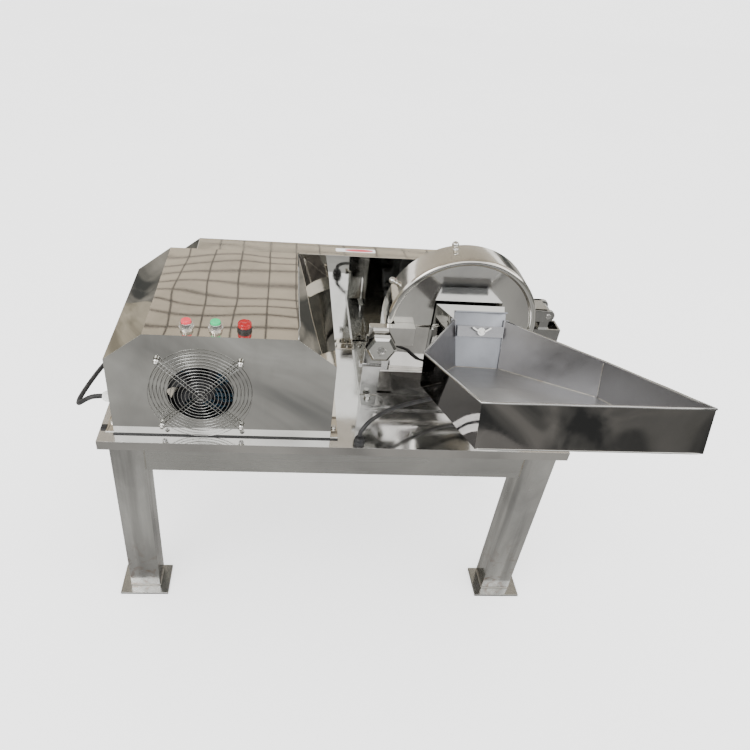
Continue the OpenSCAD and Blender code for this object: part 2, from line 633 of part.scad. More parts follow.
// ---- controls ----------------------------------------------------------
button_z = TH + cover_height;
module bezel(x) difference() {
    union() {
        translate([x, button_y, button_z]) cylinder(r = 14.5, h = 3.5);
        translate([x, button_y, button_z]) cylinder(r = 12.5, h = 12);
        translate([x, button_y, button_z - 24]) cylinder(r = 11, h = 25);
        translate([x, button_y, button_z - 7]) cylinder(r = 14, h = 5);
    }
    translate([x, button_y, button_z - 20]) cylinder(r = 9.8, h = 34);
}
module button_bezels() color([0.8, 0.8, 0.8]) place() for (x = [button_x[0], button_x[1]]) bezel(x);
module stop_button() color([0.8, 0.05, 0.04]) place() translate([button_x[0], button_y, button_z - 12])
    cylinder(r = 9.72, h = 27);
module start_button() color([0.05, 0.6, 0.25]) place() translate([button_x[1], button_y, button_z - 12])
    cylinder(r = 9.72, h = 27);
module pilot_base() color([0.05, 0.05, 0.05]) place() difference() {
    translate([button_x[2], button_y, 0]) {
        translate([0, 0, button_z]) cylinder(r = 14.5, h = 3);
        translate([0, 0, button_z - 30]) cylinder(r = 11, h = 31);
        translate([0, 0, button_z - 7]) cylinder(r = 14, h = 5);
    }
    translate([button_x[2], button_y, button_z + 1]) cylinder(r = 10.5, h = 5);
}
module pilot_lens() color([0.85, 0.06, 0.05]) place() translate([button_x[2], button_y, button_z + 1]) {
    cylinder(r = 10.4, h = 6);
    translate([0, 0, 6]) cylinder(r1 = 10.4, r2 = 7.5, h = 3);
}

// ---- bolts -------------------------------------------------------------
module bolt(x, y, z, r, down) {
    translate([x, y, z]) cylinder(r = r * 2.1, h = 1.6);
    translate([x, y, z + 1.6]) cylinder(r = r * 1.75, h = r * 1.2, $fn = 6);
    translate([x, y, z - down]) cylinder(r = r, h = down + 1);
}
module table_bolts() color([0.6, 0.6, 0.6]) place() {
    for (p = foot_bolts) {
        bolt(p[0], p[1], TH + 12, 4, 28);
        translate([p[0], p[1], TH - 9]) cylinder(r = 7, h = 7, $fn = 6);
    }
    for (x = [-80, 80], y = [284, 364]) bolt(axis_x + x, y, TH + 14, 5, 13.5);
    for (x = [-motor_foot_x, motor_foot_x], y = [m_y0 + 42, m_y1 - 42])
        bolt(motor_x + x, y, TH + 36, 4.8, 11.5);
    for (x = [508, 540]) bolt(x, wall_y - 12, TH + sheet, 3, 0);
    for (y = [60, 340], x = [cover_x0 - 10, cover_x1 + 9]) bolt(x, y, TH + sheet, 3, 0);
}

// ---- glands and cords --------------------------------------------------
module cord_gland() color([0.9, 0.9, 0.88]) place() translate([cover_x0, gland_y, gland_z])
    rotate([0, -90, 0]) difference() {
        union() {
            cylinder(r = 13, h = 6, $fn = 6);
            translate([0, 0, 6]) cylinder(r = 11, h = 6);
            translate([0, 0, 12]) cylinder(r1 = 11, r2 = 8, h = 6);
            translate([0, 0, -9]) cylinder(r = 8, h = 10);
            translate([0, 0, -8]) cylinder(r = 12, h = 5, $fn = 6);
        }
        translate([0, 0, -10]) cylinder(r = 5.4, h = 30);
    }

function unit(v) = v / norm(v);
function square_off(n, t) = unit(n - t * (n * t));
function spline(p, i, t) = let (
    a = p[max(i - 1, 0)], b = p[i], c = p[i + 1], d = p[min(i + 2, len(p) - 1)])
    0.5 * (2 * b + (c - a) * t + (2 * a - 5 * b + 4 * c - d) * t * t
        + (3 * b - a - 3 * c + d) * t * t * t);
function route(p, k) = concat([for (i = [0:len(p) - 2], j = [0:k - 1]) spline(p, i, j / k)],
    [p[len(p) - 1]]);

// A round tube of radius r through the points p, k steps between points.
module tube(p, r, k, start) {
    q = route(p, k);
    n = len(q);
    t = [for (i = [0:n - 1]) unit(q[min(i + 1, n - 1)] - q[max(i - 1, 0)])];
    u = [for (i = 0, v = square_off(start, t[0]); i < n;
        v = i + 1 < n ? square_off(v, t[i + 1]) : v, i = i + 1) v];
    sides = 10;
    polyhedron([for (i = [0:n - 1], j = [0:sides - 1])
        q[i] + r * (cos(j * 360 / sides) * u[i] + sin(j * 360 / sides) * cross(t[i], u[i]))],
        concat([[for (j = [0:sides - 1]) j]],
            [for (i = [0:n - 2], j = [0:sides - 1]) [i * sides + j, (i + 1) * sides + j,
                (i + 1) * sides + (j + 1) % sides, i * sides + (j + 1) % sides]],
            [[for (j = [sides - 1:-1:0]) (n - 1) * sides + j]]));
}

sensor_route = [[lead_x, lead_y, 22], [544, 17, 34], [566, 33, 52], [610, 60, 60], [656, 86, 56],
    [704, 112, 50], [764, 140, 50], [826, 158, 60]];
module sensor_cable() color([0.05, 0.05, 0.05]) place() {
    tube([for (p = sensor_route) [p[0], p[1], TH + p[2]]], 4.5, 5, [0, 1, 0]);
    translate([lead_x, lead_y, TH]) cylinder(r = 12, h = 9, $fn = 6);
    translate([lead_x, lead_y, TH + 8]) cylinder(r = 10, h = 10);
    translate([lead_x, lead_y, TH - 9]) cylinder(r = 6.6, h = 12);
    block([822, 150, TH + 46], [848, drum_y0 - 9.5, TH + 76]);
    block([828, drum_y0 - 10, TH + 50], [842, drum_y0, TH + 72]);
}

cord_r = 5;
cord_route = [[24, 50, TH + 79], [8, 50, TH + 79], [-9, 50, TH + 76], [-24, 52, TH + 66.5],
    [-38, 60, TH + 52], [-47, 77, TH + 39], [-51, 106, TH + 31], [-48, 155, TH + 25],
    [-40, 215, TH + 20], [-28, 280, TH + 14], [-13, 345, TH + 8.5], [2, 400, TH + 5.4],
    [12, 445, TH + 5.1], [16, 488, TH + 5.1], [16, 516, TH - 6],
    [17, 530, TH - 36], [18, 532, TH - 120], [18, 532, 160], [20, 533, 70],
    [32, 540, 26], [62, 550, 7], [104, 559, 5.1], [172, 565, 5.1]];
coil_c = [205, 500];
coil_r = [35, 71];
coil_height = 21;
tail_route = [[232, 564.5, 14.6], [262, 561, 8.5], [300, 556, 5.2], [332, 552, 10], [356, 550, 17]];
module power_cord() color([0.04, 0.04, 0.04]) place() {
    tube(cord_route, cord_r, 3, [0, 0, 1]);
    tube(tail_route, cord_r, 3, [0, 0, 1]);
}

module cord_coil() color([0.04, 0.04, 0.04]) place() translate([coil_c[0], coil_c[1], 0])
    rotate_extrude() polygon([[coil_r[0] + 2, 0], [coil_r[1] - 2, 0], [coil_r[1], 5],
        [coil_r[1], 16], [coil_r[1] - 4, coil_height], [coil_r[0] + 4, coil_height],
        [coil_r[0], 16], [coil_r[0], 5]]);

module cord_plug() color([0.05, 0.05, 0.05]) place() translate([356, 550, 17]) rotate([0, 90, 0]) {
    cylinder(r1 = 8, r2 = 11, h = 14);
    translate([0, 0, 14]) cylinder(r = 17, h = 34);
    for (a = [0:120:240]) rotate([0, 0, a]) translate([9, 0, 47]) cylinder(r = 2.4, h = 20, $fn = 16);
}

table_top();
table_legs();
rail_front();
rail_back();
side_rails();
foot_plates();
discharge_spout();
motor_cover();
belt_guard();
fan_frame();
fan_rotor();
fan_guard();
fan_screws();
motor_frame();
motor_end_shields();
motor_cowl();
motor_stator();
motor_terminal_box();
motor_shaft();
motor_pulley();
v_belts();
mill_pulley();
mill_shaft();
bearing_housing();
mill_bearings();
rotor_discs();
hammer_pins();
hammers_a();
hammers_b();
hammers_c();
hammers_d();
mill_base();
lower_housing();
screen();
hinge_bracket();
hinge_pin();
upper_cover();
cover_knobs();
cover_lug();
clamp_post();
clamp_knob();
clamp_stud();
inlet_chute();
gate_guides();
slide_gate();
gate_strap();
wing_screw();
feed_tray();
button_bezels();
stop_button();
start_button();
pilot_base();
pilot_lens();
table_bolts();
cord_gland();
sensor_cable();
power_cord();
cord_coil();
cord_plug();
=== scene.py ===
"""The looks of the hammer mill: polished sheet steel, wire fan guard, controls, feed tray and cords."""

import json
import math
import random

import bmesh
import bpy
from mathutils import Matrix, Vector


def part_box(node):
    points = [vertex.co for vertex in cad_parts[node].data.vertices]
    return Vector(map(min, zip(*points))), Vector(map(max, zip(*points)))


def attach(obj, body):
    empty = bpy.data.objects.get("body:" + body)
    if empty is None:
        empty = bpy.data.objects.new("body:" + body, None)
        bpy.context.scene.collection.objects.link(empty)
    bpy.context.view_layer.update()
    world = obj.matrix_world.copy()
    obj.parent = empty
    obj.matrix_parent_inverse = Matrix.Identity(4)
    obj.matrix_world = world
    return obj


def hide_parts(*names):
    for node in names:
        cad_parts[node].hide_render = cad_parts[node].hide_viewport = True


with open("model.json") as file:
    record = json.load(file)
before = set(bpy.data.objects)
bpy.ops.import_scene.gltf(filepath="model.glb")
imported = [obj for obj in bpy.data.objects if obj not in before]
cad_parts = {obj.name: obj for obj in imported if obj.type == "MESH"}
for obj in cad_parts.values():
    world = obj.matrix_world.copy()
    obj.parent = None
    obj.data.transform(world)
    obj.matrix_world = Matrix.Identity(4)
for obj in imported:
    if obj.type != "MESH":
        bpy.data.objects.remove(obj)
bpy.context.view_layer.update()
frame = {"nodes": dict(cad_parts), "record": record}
random.seed(7)

MM = 0.001
TABLE_LOW, TABLE_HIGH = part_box("table_top")
BODY_OF = {n: b for b, ns in frame["record"]["behaviour"]["bodies"].items() for n in ns}
SLOT_OF = {s["node"]: s["material_slot"] for s in frame["record"]["subparts"]}


def at(x, y, z):
    """A place in mm right of, behind and above the table top's front left corner, as frame metres."""
    return Vector((TABLE_LOW.x + x * MM, TABLE_LOW.y + y * MM, TABLE_HIGH.z + z * MM))


def low_high(node):
    """A node's lowest and highest corners in mm, measured as at() takes them."""
    low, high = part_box(node)
    origin = at(0, 0, 0)
    return (low - origin) / MM, (high - origin) / MM


# ---- camera ------------------------------------------------------------
CAMERA_PLACE = (364, -1015, 937)
YAW, PITCH, ROLL = -5.85, -36.27, -5.41


def make_camera():
    """The camera in front of the machine and above it, looking down with a slight roll."""
    yaw, pitch, roll = (math.radians(a) for a in (YAW, PITCH, ROLL))
    turn = Matrix.Rotation(yaw, 3, "Z") @ Matrix.Rotation(math.pi / 2 + pitch, 3, "X")
    ahead = turn @ Vector((0, 0, -1))
    turn = Matrix.Rotation(roll, 3, ahead) @ turn
    data = bpy.data.cameras.new("camera")
    data.sensor_width = 36
    data.lens = 31.58
    data.shift_x = 0.058
    camera = bpy.data.objects.new("camera", data)
    bpy.context.scene.collection.objects.link(camera)
    camera.matrix_world = Matrix.Translation(at(*CAMERA_PLACE)) @ turn.to_4x4()
    bpy.context.scene.camera = camera


make_camera()


# ---- node materials ----------------------------------------------------
class Nodes:
    """A new material's node tree, with short names for the nodes that the recipes below use."""

    def __init__(self, name):
        self.material = bpy.data.materials.new(name)
        self.material.use_nodes = True
        self.tree = self.material.node_tree
        self.shader = self.tree.nodes["Principled BSDF"]
        self.coords = self.tree.nodes.new("ShaderNodeTexCoord").outputs["Object"]

    def link(self, a, b):
        self.tree.links.new(a, b)

    def stretch(self, scale):
        node = self.tree.nodes.new("ShaderNodeMapping")
        node.inputs["Scale"].default_value = scale
        self.link(self.coords, node.inputs["Vector"])
        return node.outputs["Vector"]

    def noise(self, scale, detail=4, roughness=0.55, distortion=0.0, stretch=(1, 1, 1)):
        node = self.tree.nodes.new("ShaderNodeTexNoise")
        node.inputs["Scale"].default_value = scale
        node.inputs["Detail"].default_value = detail
        node.inputs["Roughness"].default_value = roughness
        node.inputs["Distortion"].default_value = distortion
        self.link(self.stretch(stretch), node.inputs["Vector"])
        return node.outputs["Fac"]

    def ramp(self, value, *stops):
        node = self.tree.nodes.new("ShaderNodeValToRGB")
        elements = node.color_ramp.elements
        while len(elements) < len(stops):
            elements.new(0.5)
        for element, (position, colour) in zip(elements, stops):
            element.position = position
            element.color = (*colour, 1) if hasattr(colour, "__len__") else (colour, colour, colour, 1)
        self.link(value, node.inputs["Fac"])
        return node.outputs["Color"]

    def mix(self, factor, a, b, how="MIX"):
        node = self.tree.nodes.new("ShaderNodeMix")
        node.data_type = "RGBA"
        node.blend_type = how
        for value, slot in ((factor, node.inputs[0]), (a, node.inputs[6]), (b, node.inputs[7])):
            if isinstance(value, bpy.types.NodeSocket):
                self.link(value, slot)
            elif hasattr(value, "__len__"):
                slot.default_value = (*value, 1)
            else:
                slot.default_value = value
        return node.outputs[2]

    def math(self, how, a, b=0.0):
        node = self.tree.nodes.new("ShaderNodeMath")
        node.operation = how
        for value, slot in ((a, node.inputs[0]), (b, node.inputs[1])):
            if isinstance(value, bpy.types.NodeSocket):
                self.link(value, slot)
            else:
                slot.default_value = value
        return node.outputs[0]

    def split(self, vector):
        node = self.tree.nodes.new("ShaderNodeSeparateXYZ")
        self.link(vector, node.inputs[0])
        return node.outputs

    def normal(self):
        return self.tree.nodes.new("ShaderNodeNewGeometry").outputs["Normal"]

    def bump(self, height, strength, distance=0.001):
        node = self.tree.nodes.new("ShaderNodeBump")
        node.inputs["Strength"].default_value = strength
        node.inputs["Distance"].default_value = distance
        self.link(height, node.inputs["Height"])
        previous = self.shader.inputs["Normal"].links
        if previous:
            self.link(previous[0].from_socket, node.inputs["Normal"])
        self.link(node.outputs["Normal"], self.shader.inputs["Normal"])

    def colour(self, socket):
        self.link(socket, self.shader.inputs["Base Color"])

    def rough(self, socket):
        self.link(socket, self.shader.inputs["Roughness"])


def mirror_steel(name, up, side, dark_reflection_share=0.35, waviness=0.35, rough=(0.015, 0.07)):
    """Polished stainless sheet: its colour is painted lighter and warmer where it faces up, as light from
    above, and darker on its sides as painted shade, with dark patches painted in as reflections.
    """
    n = Nodes(name)
    n.shader.inputs["Metallic"].default_value = 1.0
    # painted light and shade: the colour runs from the side colour to the up colour as the face turns upward
    facing = n.ramp(n.split(n.normal())["Z"], (0.1, 0.0), (0.75, 1.0))
    base = n.mix(facing, side, up)
    # painted reflection: dark patches and streaks mixed into the colour stand in for dark things mirrored in
    # the sheet
    patches = n.ramp(n.noise(4.5, 3, 0.5, 1.2), (0.42, 0.0), (0.62, 1.0))
    dark = n.mix(0.55, base, (0.16, 0.16, 0.15))
    reflection_streaks = n.ramp(n.noise(14, 5, 0.6, 0.4, (1, 1, 0.35)), (0.35, 0.0), (0.75, 1.0))
    dark_reflection_amount = n.math("MULTIPLY", n.math("MULTIPLY", patches, reflection_streaks), dark_reflection_share)
    cloudy = n.mix(dark_reflection_amount, base, dark)
    n.colour(cloudy)
    film = n.noise(38, 6, 0.65, 0.8)
    n.rough(n.ramp(film, (0.3, rough[0]), (0.8, rough[1])))
    n.bump(n.noise(3.2, 1, 0.4), waviness, 0.02)
    n.bump(n.noise(900, 2, 0.5, 0, (1, 1, 0.04)), 0.012, 0.0002)
    return n.material


def satin_steel(name, tone, grain, rough, warm, contrast, painted_top_light=None):
    """Brushed stainless: grain along one axis, cloudy marks, heat marks, and a tone painted in where it faces
    up, as light from above.
    """
    n = Nodes(name)
    n.shader.inputs["Metallic"].default_value = 1.0
    n.shader.inputs["Anisotropic"].default_value = 0.3
    lines = n.noise(420, 4, 0.6, 0, grain)
    cloud = n.noise(7, 5, 0.6, 0.6)
    start = tone
    if painted_top_light:
        # painted light: faces turned up take a lighter colour, painted in as light from above
        start = n.mix(n.ramp(n.split(n.normal())["Z"], (0.4, 0.0), (0.8, 1.0)), tone, painted_top_light)
    base = n.mix(n.ramp(cloud, (0.35, 0.0), (0.7, contrast)), start, tuple(c * 0.55 for c in tone))
    base = n.mix(n.ramp(lines, (0.3, 0.0), (0.8, 0.18)), base, tuple(min(1, c * 1.25) for c in tone))
    if warm:
        spots = n.ramp(n.noise(16, 5, 0.65, 1.0), (0.52, 0.0), (0.72, warm))
        base = n.mix(spots, base, (0.36, 0.24, 0.13))
    n.colour(base)
    n.rough(n.ramp(n.noise(60, 5, 0.6, 0, grain), (0.3, rough[0]), (0.75, rough[1])))
    n.bump(lines, 0.12, 0.0002)
    n.bump(cloud, 0.05, 0.004)
    return n.material


def leg_steel(name):
    """Polished square tube, with rust and heat tint near the floor."""
    n = Nodes(name)
    n.shader.inputs["Metallic"].default_value = 1.0
    height = n.split(n.coords)["Z"]
    cloud = n.noise(9, 5, 0.62, 0.8, (1, 1, 0.5))
    base = n.mix(n.ramp(cloud, (0.36, 0.0), (0.66, 0.5)), (0.76, 0.76, 0.74), (0.36, 0.36, 0.35))
    # painted reflection: dark vertical streaks in the colour stand in for the surroundings mirrored in the
    # polished tube
    painted_reflection_streaks = n.ramp(n.noise(26, 3, 0.5, 0.3, (1, 1, 0.05)), (0.46, 0.0), (0.6, 0.4))
    base = n.mix(painted_reflection_streaks, base, (0.2, 0.2, 0.195))
    low = n.ramp(height, (0.03, 1.0), (0.2, 0.0))
    rust = n.math("MULTIPLY", low, n.ramp(n.noise(24, 6, 0.7, 1.4), (0.5, 0.0), (0.66, 0.6)))
    base = n.mix(rust, base, (0.25, 0.12, 0.05))
    n.colour(base)
    n.rough(n.ramp(n.noise(30, 5, 0.6, 0.5, (1, 1, 0.3)), (0.3, 0.1), (0.75, 0.3)))
    n.bump(n.noise(6, 2, 0.4), 0.3, 0.008)
    n.bump(n.noise(600, 3, 0.5, 0, (1, 1, 0.05)), 0.06, 0.0002)
    return n.material


def plastic(name, tone, rough=0.35, grain=220, coat=0.0):
    """Moulded plastic with fine pitting, rubbed patches and a little dust."""
    n = Nodes(name)
    worn = n.ramp(n.noise(30, 5, 0.6, 0.4), (0.4, 0.0), (0.75, 0.35))
    n.colour(n.mix(worn, tone, tuple(min(1, c * 1.35 + 0.02) for c in tone)))
    n.rough(n.ramp(n.noise(45, 4, 0.6), (0.3, rough * 0.8), (0.7, min(1, rough * 1.3))))
    n.shader.inputs["Coat Weight"].default_value = coat
    n.shader.inputs["Coat Roughness"].default_value = 0.08
    n.bump(n.noise(grain, 3, 0.5), 0.12, 0.0003)
    return n.material


def rubber(name, tone=(0.018, 0.018, 0.019)):
    """Black cable jacket: matt, with faint extrusion marks and dust."""
    n = Nodes(name)
    dust = n.ramp(n.noise(55, 6, 0.7), (0.45, 0.0), (0.8, 0.5))
    n.colour(n.mix(dust, tone, (0.09, 0.085, 0.08)))
    n.rough(n.ramp(n.noise(80, 4, 0.6), (0.3, 0.42), (0.7, 0.62)))
    n.bump(n.noise(500, 3, 0.5), 0.15, 0.0003)
    return n.material


def enamel(name, tone):
    """Sprayed enamel on iron, with orange peel, darker patches and chips of darker metal."""
    n = Nodes(name)
    chips = n.ramp(n.noise(70, 6, 0.7, 0.3), (0.68, 0.0), (0.72, 1.0))
    shade = n.mix(n.ramp(n.noise(9, 4), (0.35, 0.0), (0.7, 0.4)), tone, tuple(c * 0.6 for c in tone))
    n.colour(n.mix(chips, shade, (0.09, 0.085, 0.08)))
    n.rough(n.ramp(n.noise(40, 4), (0.3, 0.28), (0.7, 0.5)))
    n.shader.inputs["Coat Weight"].default_value = 0.3
    n.bump(n.noise(180, 3, 0.5), 0.2, 0.0004)
    return n.material


def machined(name, tone):
    """Turned or ground steel with a light film of flour dust and oil."""
    n = Nodes(name)
    n.shader.inputs["Metallic"].default_value = 1.0
    film = n.ramp(n.noise(28, 5, 0.65, 0.5), (0.4, 0.0), (0.75, 0.6))
    n.colour(n.mix(film, tone, tuple(c * 0.5 for c in tone)))
    n.rough(n.ramp(n.noise(50, 5), (0.3, 0.2), (0.75, 0.45)))
    n.bump(n.noise(700, 3, 0.5, 0, (1, 0.05, 1)), 0.12, 0.0002)
    return n.material


# Painted light: each mirror_steel look's first colour is painted light on faces turned up and its second is
# painted shade on the sides; its third number is the share of dark patches painted in as reflections.
MATERIALS = {
    "cover_steel": mirror_steel("cover_steel", (0.8, 0.74, 0.65), (0.62, 0.62, 0.6), 0.6, 0.15,
                                (0.004, 0.035)),
    "guard_steel": mirror_steel("guard_steel", (0.8, 0.75, 0.66), (0.66, 0.66, 0.64), 0.35),
    "drum_steel": mirror_steel("drum_steel", (0.76, 0.72, 0.65), (0.64, 0.635, 0.61), 0.5, 0.25,
                               (0.07, 0.17)),
    "housing_steel": mirror_steel("housing_steel", (0.66, 0.64, 0.6), (0.6, 0.59, 0.57), 0.8, 0.5),
    "table_steel": mirror_steel("table_steel", (0.9, 0.89, 0.87), (0.62, 0.61, 0.59), 0.3, 0.3, (0.06, 0.18)),
    "rim_steel": satin_steel("rim_steel", (0.6, 0.6, 0.59), (1, 1, 1), (0.15, 0.3), 0.0, 0.3),
    "rail_steel": satin_steel("rail_steel", (0.62, 0.62, 0.6), (0.04, 1, 1), (0.2, 0.36), 0.0, 0.45),
    "leg_steel": leg_steel("leg_steel"),
    # painted light: the last colour of tray_inner_steel is painted light on faces turned up
    "tray_inner_steel": satin_steel("tray_inner_steel", (0.33, 0.325, 0.33), (0.3, 1, 1), (0.3, 0.42),
                                    0.0, 0.2, (0.56, 0.57, 0.59)),
    "tray_outer_steel": mirror_steel("tray_outer_steel", (0.44, 0.42, 0.38), (0.25, 0.24, 0.245), 0.7, 0.9),
    "gate_steel": satin_steel("gate_steel", (0.3, 0.31, 0.335), (1, 1, 0.3), (0.28, 0.4), 0.0, 0.15),
    "chute_steel": mirror_steel("chute_steel", (0.9, 0.9, 0.89), (0.45, 0.45, 0.44), 0.5, 0.6),
    "bracket_steel": mirror_steel("bracket_steel", (0.6, 0.6, 0.58), (0.42, 0.42, 0.41), 0.9, 0.6,
                                  (0.1, 0.3)),
    "guide_steel": satin_steel("guide_steel", (0.3, 0.3, 0.31), (0.3, 1, 1), (0.2, 0.34), 0.0, 0.4),
    "fittings": mirror_steel("fittings", (0.85, 0.84, 0.81), (0.7, 0.7, 0.68), 0.5, 0.1, (0.08, 0.2)),
    "wire": mirror_steel("wire", (0.6, 0.6, 0.58), (0.5, 0.5, 0.49), 0.3, 0.0, (0.1, 0.22)),
    "weld": satin_steel("weld", (0.62, 0.6, 0.55), (1, 1, 1), (0.25, 0.5), 0.6, 0.8),
    "machined": machined("machined", (0.5, 0.5, 0.49)),
    "cast_iron": enamel("cast_iron", (0.2, 0.21, 0.22)),
    "motor_paint": enamel("motor_paint", (0.07, 0.17, 0.26)),
    "windings": machined("windings", (0.42, 0.24, 0.12)),
    "fan_black": plastic("fan_black", (0.012, 0.012, 0.014), 0.4),
    "black": plastic("black", (0.016, 0.016, 0.017), 0.38),
    "red": plastic("red", (0.36, 0.002, 0.005), 0.25, 150, 0.3),
    "pale_red": plastic("pale_red", (0.72, 0.05, 0.07), 0.3, 150, 0.3),
    "green": plastic("green", (0.002, 0.52, 0.18), 0.3, 150, 0.2),
    "white": plastic("white", (0.78, 0.78, 0.75), 0.35),
    "label_white": plastic("label_white", (0.85, 0.83, 0.82), 0.3, 400),
    "label_red": plastic("label_red", (0.6, 0.06, 0.08), 0.3, 400),
    "rubber": rubber("rubber"),
}

LOOK_OF = {
    "table_top": "table_steel", "motor_cover": "cover_steel", "belt_guard": "guard_steel",
    "upper_cover": "drum_steel", "lower_housing": "housing_steel", "inlet_chute": "chute_steel",
    "table_legs": "leg_steel", "mill_base": "bracket_steel", "clamp_stud": "machined",
    "rail_front": "rail_steel", "rail_back": "rail_steel",
    "side_rails": "rail_steel", "foot_plates": "bracket_steel", "discharge_spout": "rail_steel",
    "fan_frame": "fan_black", "fan_rotor": "fan_black", "fan_guard": "wire", "fan_screws": "fittings",
    "motor_frame": "motor_paint", "motor_end_shields": "motor_paint", "motor_cowl": "motor_paint",
    "motor_terminal_box": "motor_paint", "motor_stator": "windings", "motor_shaft": "machined",
    "motor_pulley": "cast_iron", "mill_pulley": "cast_iron", "v_belts": "rubber",
    "mill_shaft": "machined", "bearing_housing": "cast_iron", "mill_bearings": "machined",
    "rotor_discs": "machined", "hammer_pins": "machined", "hammers_a": "machined",
    "hammers_b": "machined", "hammers_c": "machined", "hammers_d": "machined", "screen": "machined",
    "hinge_bracket": "bracket_steel", "hinge_pin": "fittings", "cover_knobs": "fittings",
    "cover_lug": "housing_steel", "clamp_post": "bracket_steel", "clamp_knob": "fittings",
    "gate_guides": "guide_steel", "slide_gate": "gate_steel", "gate_strap": "guide_steel",
    "wing_screw": "fittings", "feed_tray": "tray_inner_steel", "button_bezels": "fittings",
    "stop_button": "pale_red", "start_button": "green", "pilot_base": "black", "pilot_lens": "red",
    "table_bolts": "fittings", "cord_gland": "white", "sensor_cable": "rubber", "power_cord": "rubber",
    "cord_coil": "rubber", "cord_plug": "black",
}


# ---- mesh helpers ------------------------------------------------------
def link(piece):
    """Puts a new object in the scene."""
    bpy.context.scene.collection.objects.link(piece)
    return piece


def from_bmesh(name, bm, look, smooth=True):
    """An object made from the faces gathered in bm, with a look from MATERIALS."""
    mesh = bpy.data.meshes.new(name)
    bm.normal_update()
    bm.to_mesh(mesh)
    bm.free()
    piece = link(bpy.data.objects.new(name, mesh))
    mesh.materials.append(MATERIALS[look])
    for face in mesh.polygons:
        face.use_smooth = smooth
    return piece


def bevel(piece, width, segments=2, angle=35):
    """Rounds the edges sharper than angle by a width in mm."""
    changed = piece.modifiers.new("bevel", "BEVEL")
    changed.width = width * MM
    changed.segments = segments
    changed.limit_method = "ANGLE"
    changed.angle_limit = math.radians(angle)
    changed.use_clamp_overlap = True
    changed.harden_normals = True
    return piece


def settle(piece, body, slot, *nodes):
    """A finished piece rides on a body and stands for the nodes named; slot is not used."""
    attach(piece, body)
    if nodes:
        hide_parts(*nodes)
    return piece


def rounded(node, width, segments, angle=35):
    """A copy of a CAD node with its sharp edges rounded, shown in place of it."""
    bm = bmesh.new()
    bm.from_mesh(frame["nodes"][node].data)
    bmesh.ops.remove_doubles(bm, verts=bm.verts, dist=1e-6)
    bmesh.ops.dissolve_limit(bm, angle_limit=math.radians(0.4), verts=bm.verts, edges=bm.edges)
    piece = from_bmesh(node + "_shape", bm, LOOK_OF[node], smooth=False)
    piece.data.shade_smooth()
    piece.data.set_sharp_from_angle(angle=math.radians(angle))
    bevel(piece, width, segments, angle)
    return settle(piece, BODY_OF[node], SLOT_OF[node], node)


def loft(bm, rings, closed=False, caps=True):
    """Faces between rings of points; each ring closes on itself."""
    made = [[bm.verts.new(p) for p in ring] for ring in rings]
    count = len(made[0])
    pairs = zip(made, made[1:] + made[:1]) if closed else zip(made, made[1:])
    for a, b in pairs:
        for i in range(count):
            j = (i + 1) % count
            bm.faces.new((a[i], a[j], b[j], b[i]))
    if caps and not closed:
        bm.faces.new(list(reversed(made[0])))
        bm.faces.new(made[-1])


def lathe(bm, profile, place, turns=48):
    """Revolves (radius, height) points about the Z axis of the matrix place."""
    rings = []
    for radius, height in profile:
        ring = []
        for i in range(turns):
            a = 2 * math.pi * i / turns
            ring.append(place @ (Vector((radius * math.cos(a), radius * math.sin(a), height)) * MM))
        rings.append(ring)
    loft(bm, rings)


def tube(bm, path, radius, sides=12, closed=False):
    """A round tube of a radius in mm along a list of frame points."""
    rings = []
    count = len(path)
    across = None
    for i, point in enumerate(path):
        before = path[i - 1] if closed or i else path[0]
        after = path[(i + 1) % count] if closed or i < count - 1 else path[-1]
        along = (after - before).normalized()
        if across is None:
            across = along.orthogonal().normalized()
        across = (across - along * across.dot(along)).normalized()
        up = along.cross(across)
        rings.append([point + (across * math.cos(2 * math.pi * k / sides)
                               + up * math.sin(2 * math.pi * k / sides)) * radius * MM
                      for k in range(sides)])
    loft(bm, rings, closed)


def facing(x, y, z, ahead=(0, -1, 0)):
    """A matrix at a place in mm whose Z axis points ahead."""
    turn = Vector(ahead).to_track_quat("Z", "Y").to_matrix().to_4x4()
    return Matrix.Translation(at(x, y, z)) @ turn


# ---- cords -------------------------------------------------------------
CORD_RADIUS = 5
FLOOR = -TABLE_HIGH.z / MM
CORD_ROUTE = [
    (24, 50, 79), (8, 50, 79), (-9, 50, 76), (-24, 52, 66.5), (-38, 60, 52), (-47, 77, 39),
    (-51, 106, 31), (-48, 155, 25), (-40, 215, 20), (-28, 280, 14), (-13, 345, 8.5), (2, 400, 5.4),
    (12, 445, 5.1), (16, 488, 5.1), (16, 516, -6),
    (17, 530, -36), (18, 532, -120), (18, 532, FLOOR + 160), (20, 533, FLOOR + 70),
    (32, 540, FLOOR + 26), (62, 550, FLOOR + 7), (104, 559, FLOOR + 5.1), (172, 565, FLOOR + 5.1),
]
COIL_CENTRE = (205, 500)
COIL_OUTER, COIL_INNER, COIL_STEP, COIL_REST = 65.0, 40.0, 10.6, 5.1
TAIL_ROUTE = [
    (232, 564.5, FLOOR + 14.6), (262, 561, FLOOR + 8.5), (300, 556, FLOOR + 5.2),
    (332, 552, FLOOR + 10), (356, 550, FLOOR + 17),
]


def spline(points, steps):
    """Points along a smooth curve through the given ones."""
    points = [Vector(p) for p in points]
    found = []
    for i in range(len(points) - 1):
        a, b = points[max(i - 1, 0)], points[i]
        c, d = points[i + 1], points[min(i + 2, len(points) - 1)]
        for j in range(steps):
            t = j / steps
            found.append(0.5 * (2 * b + (c - a) * t + (2 * a - 5 * b + 4 * c - d) * t * t
                                + (3 * b - a - 3 * c + d) * t ** 3))
    return found + [points[-1]]


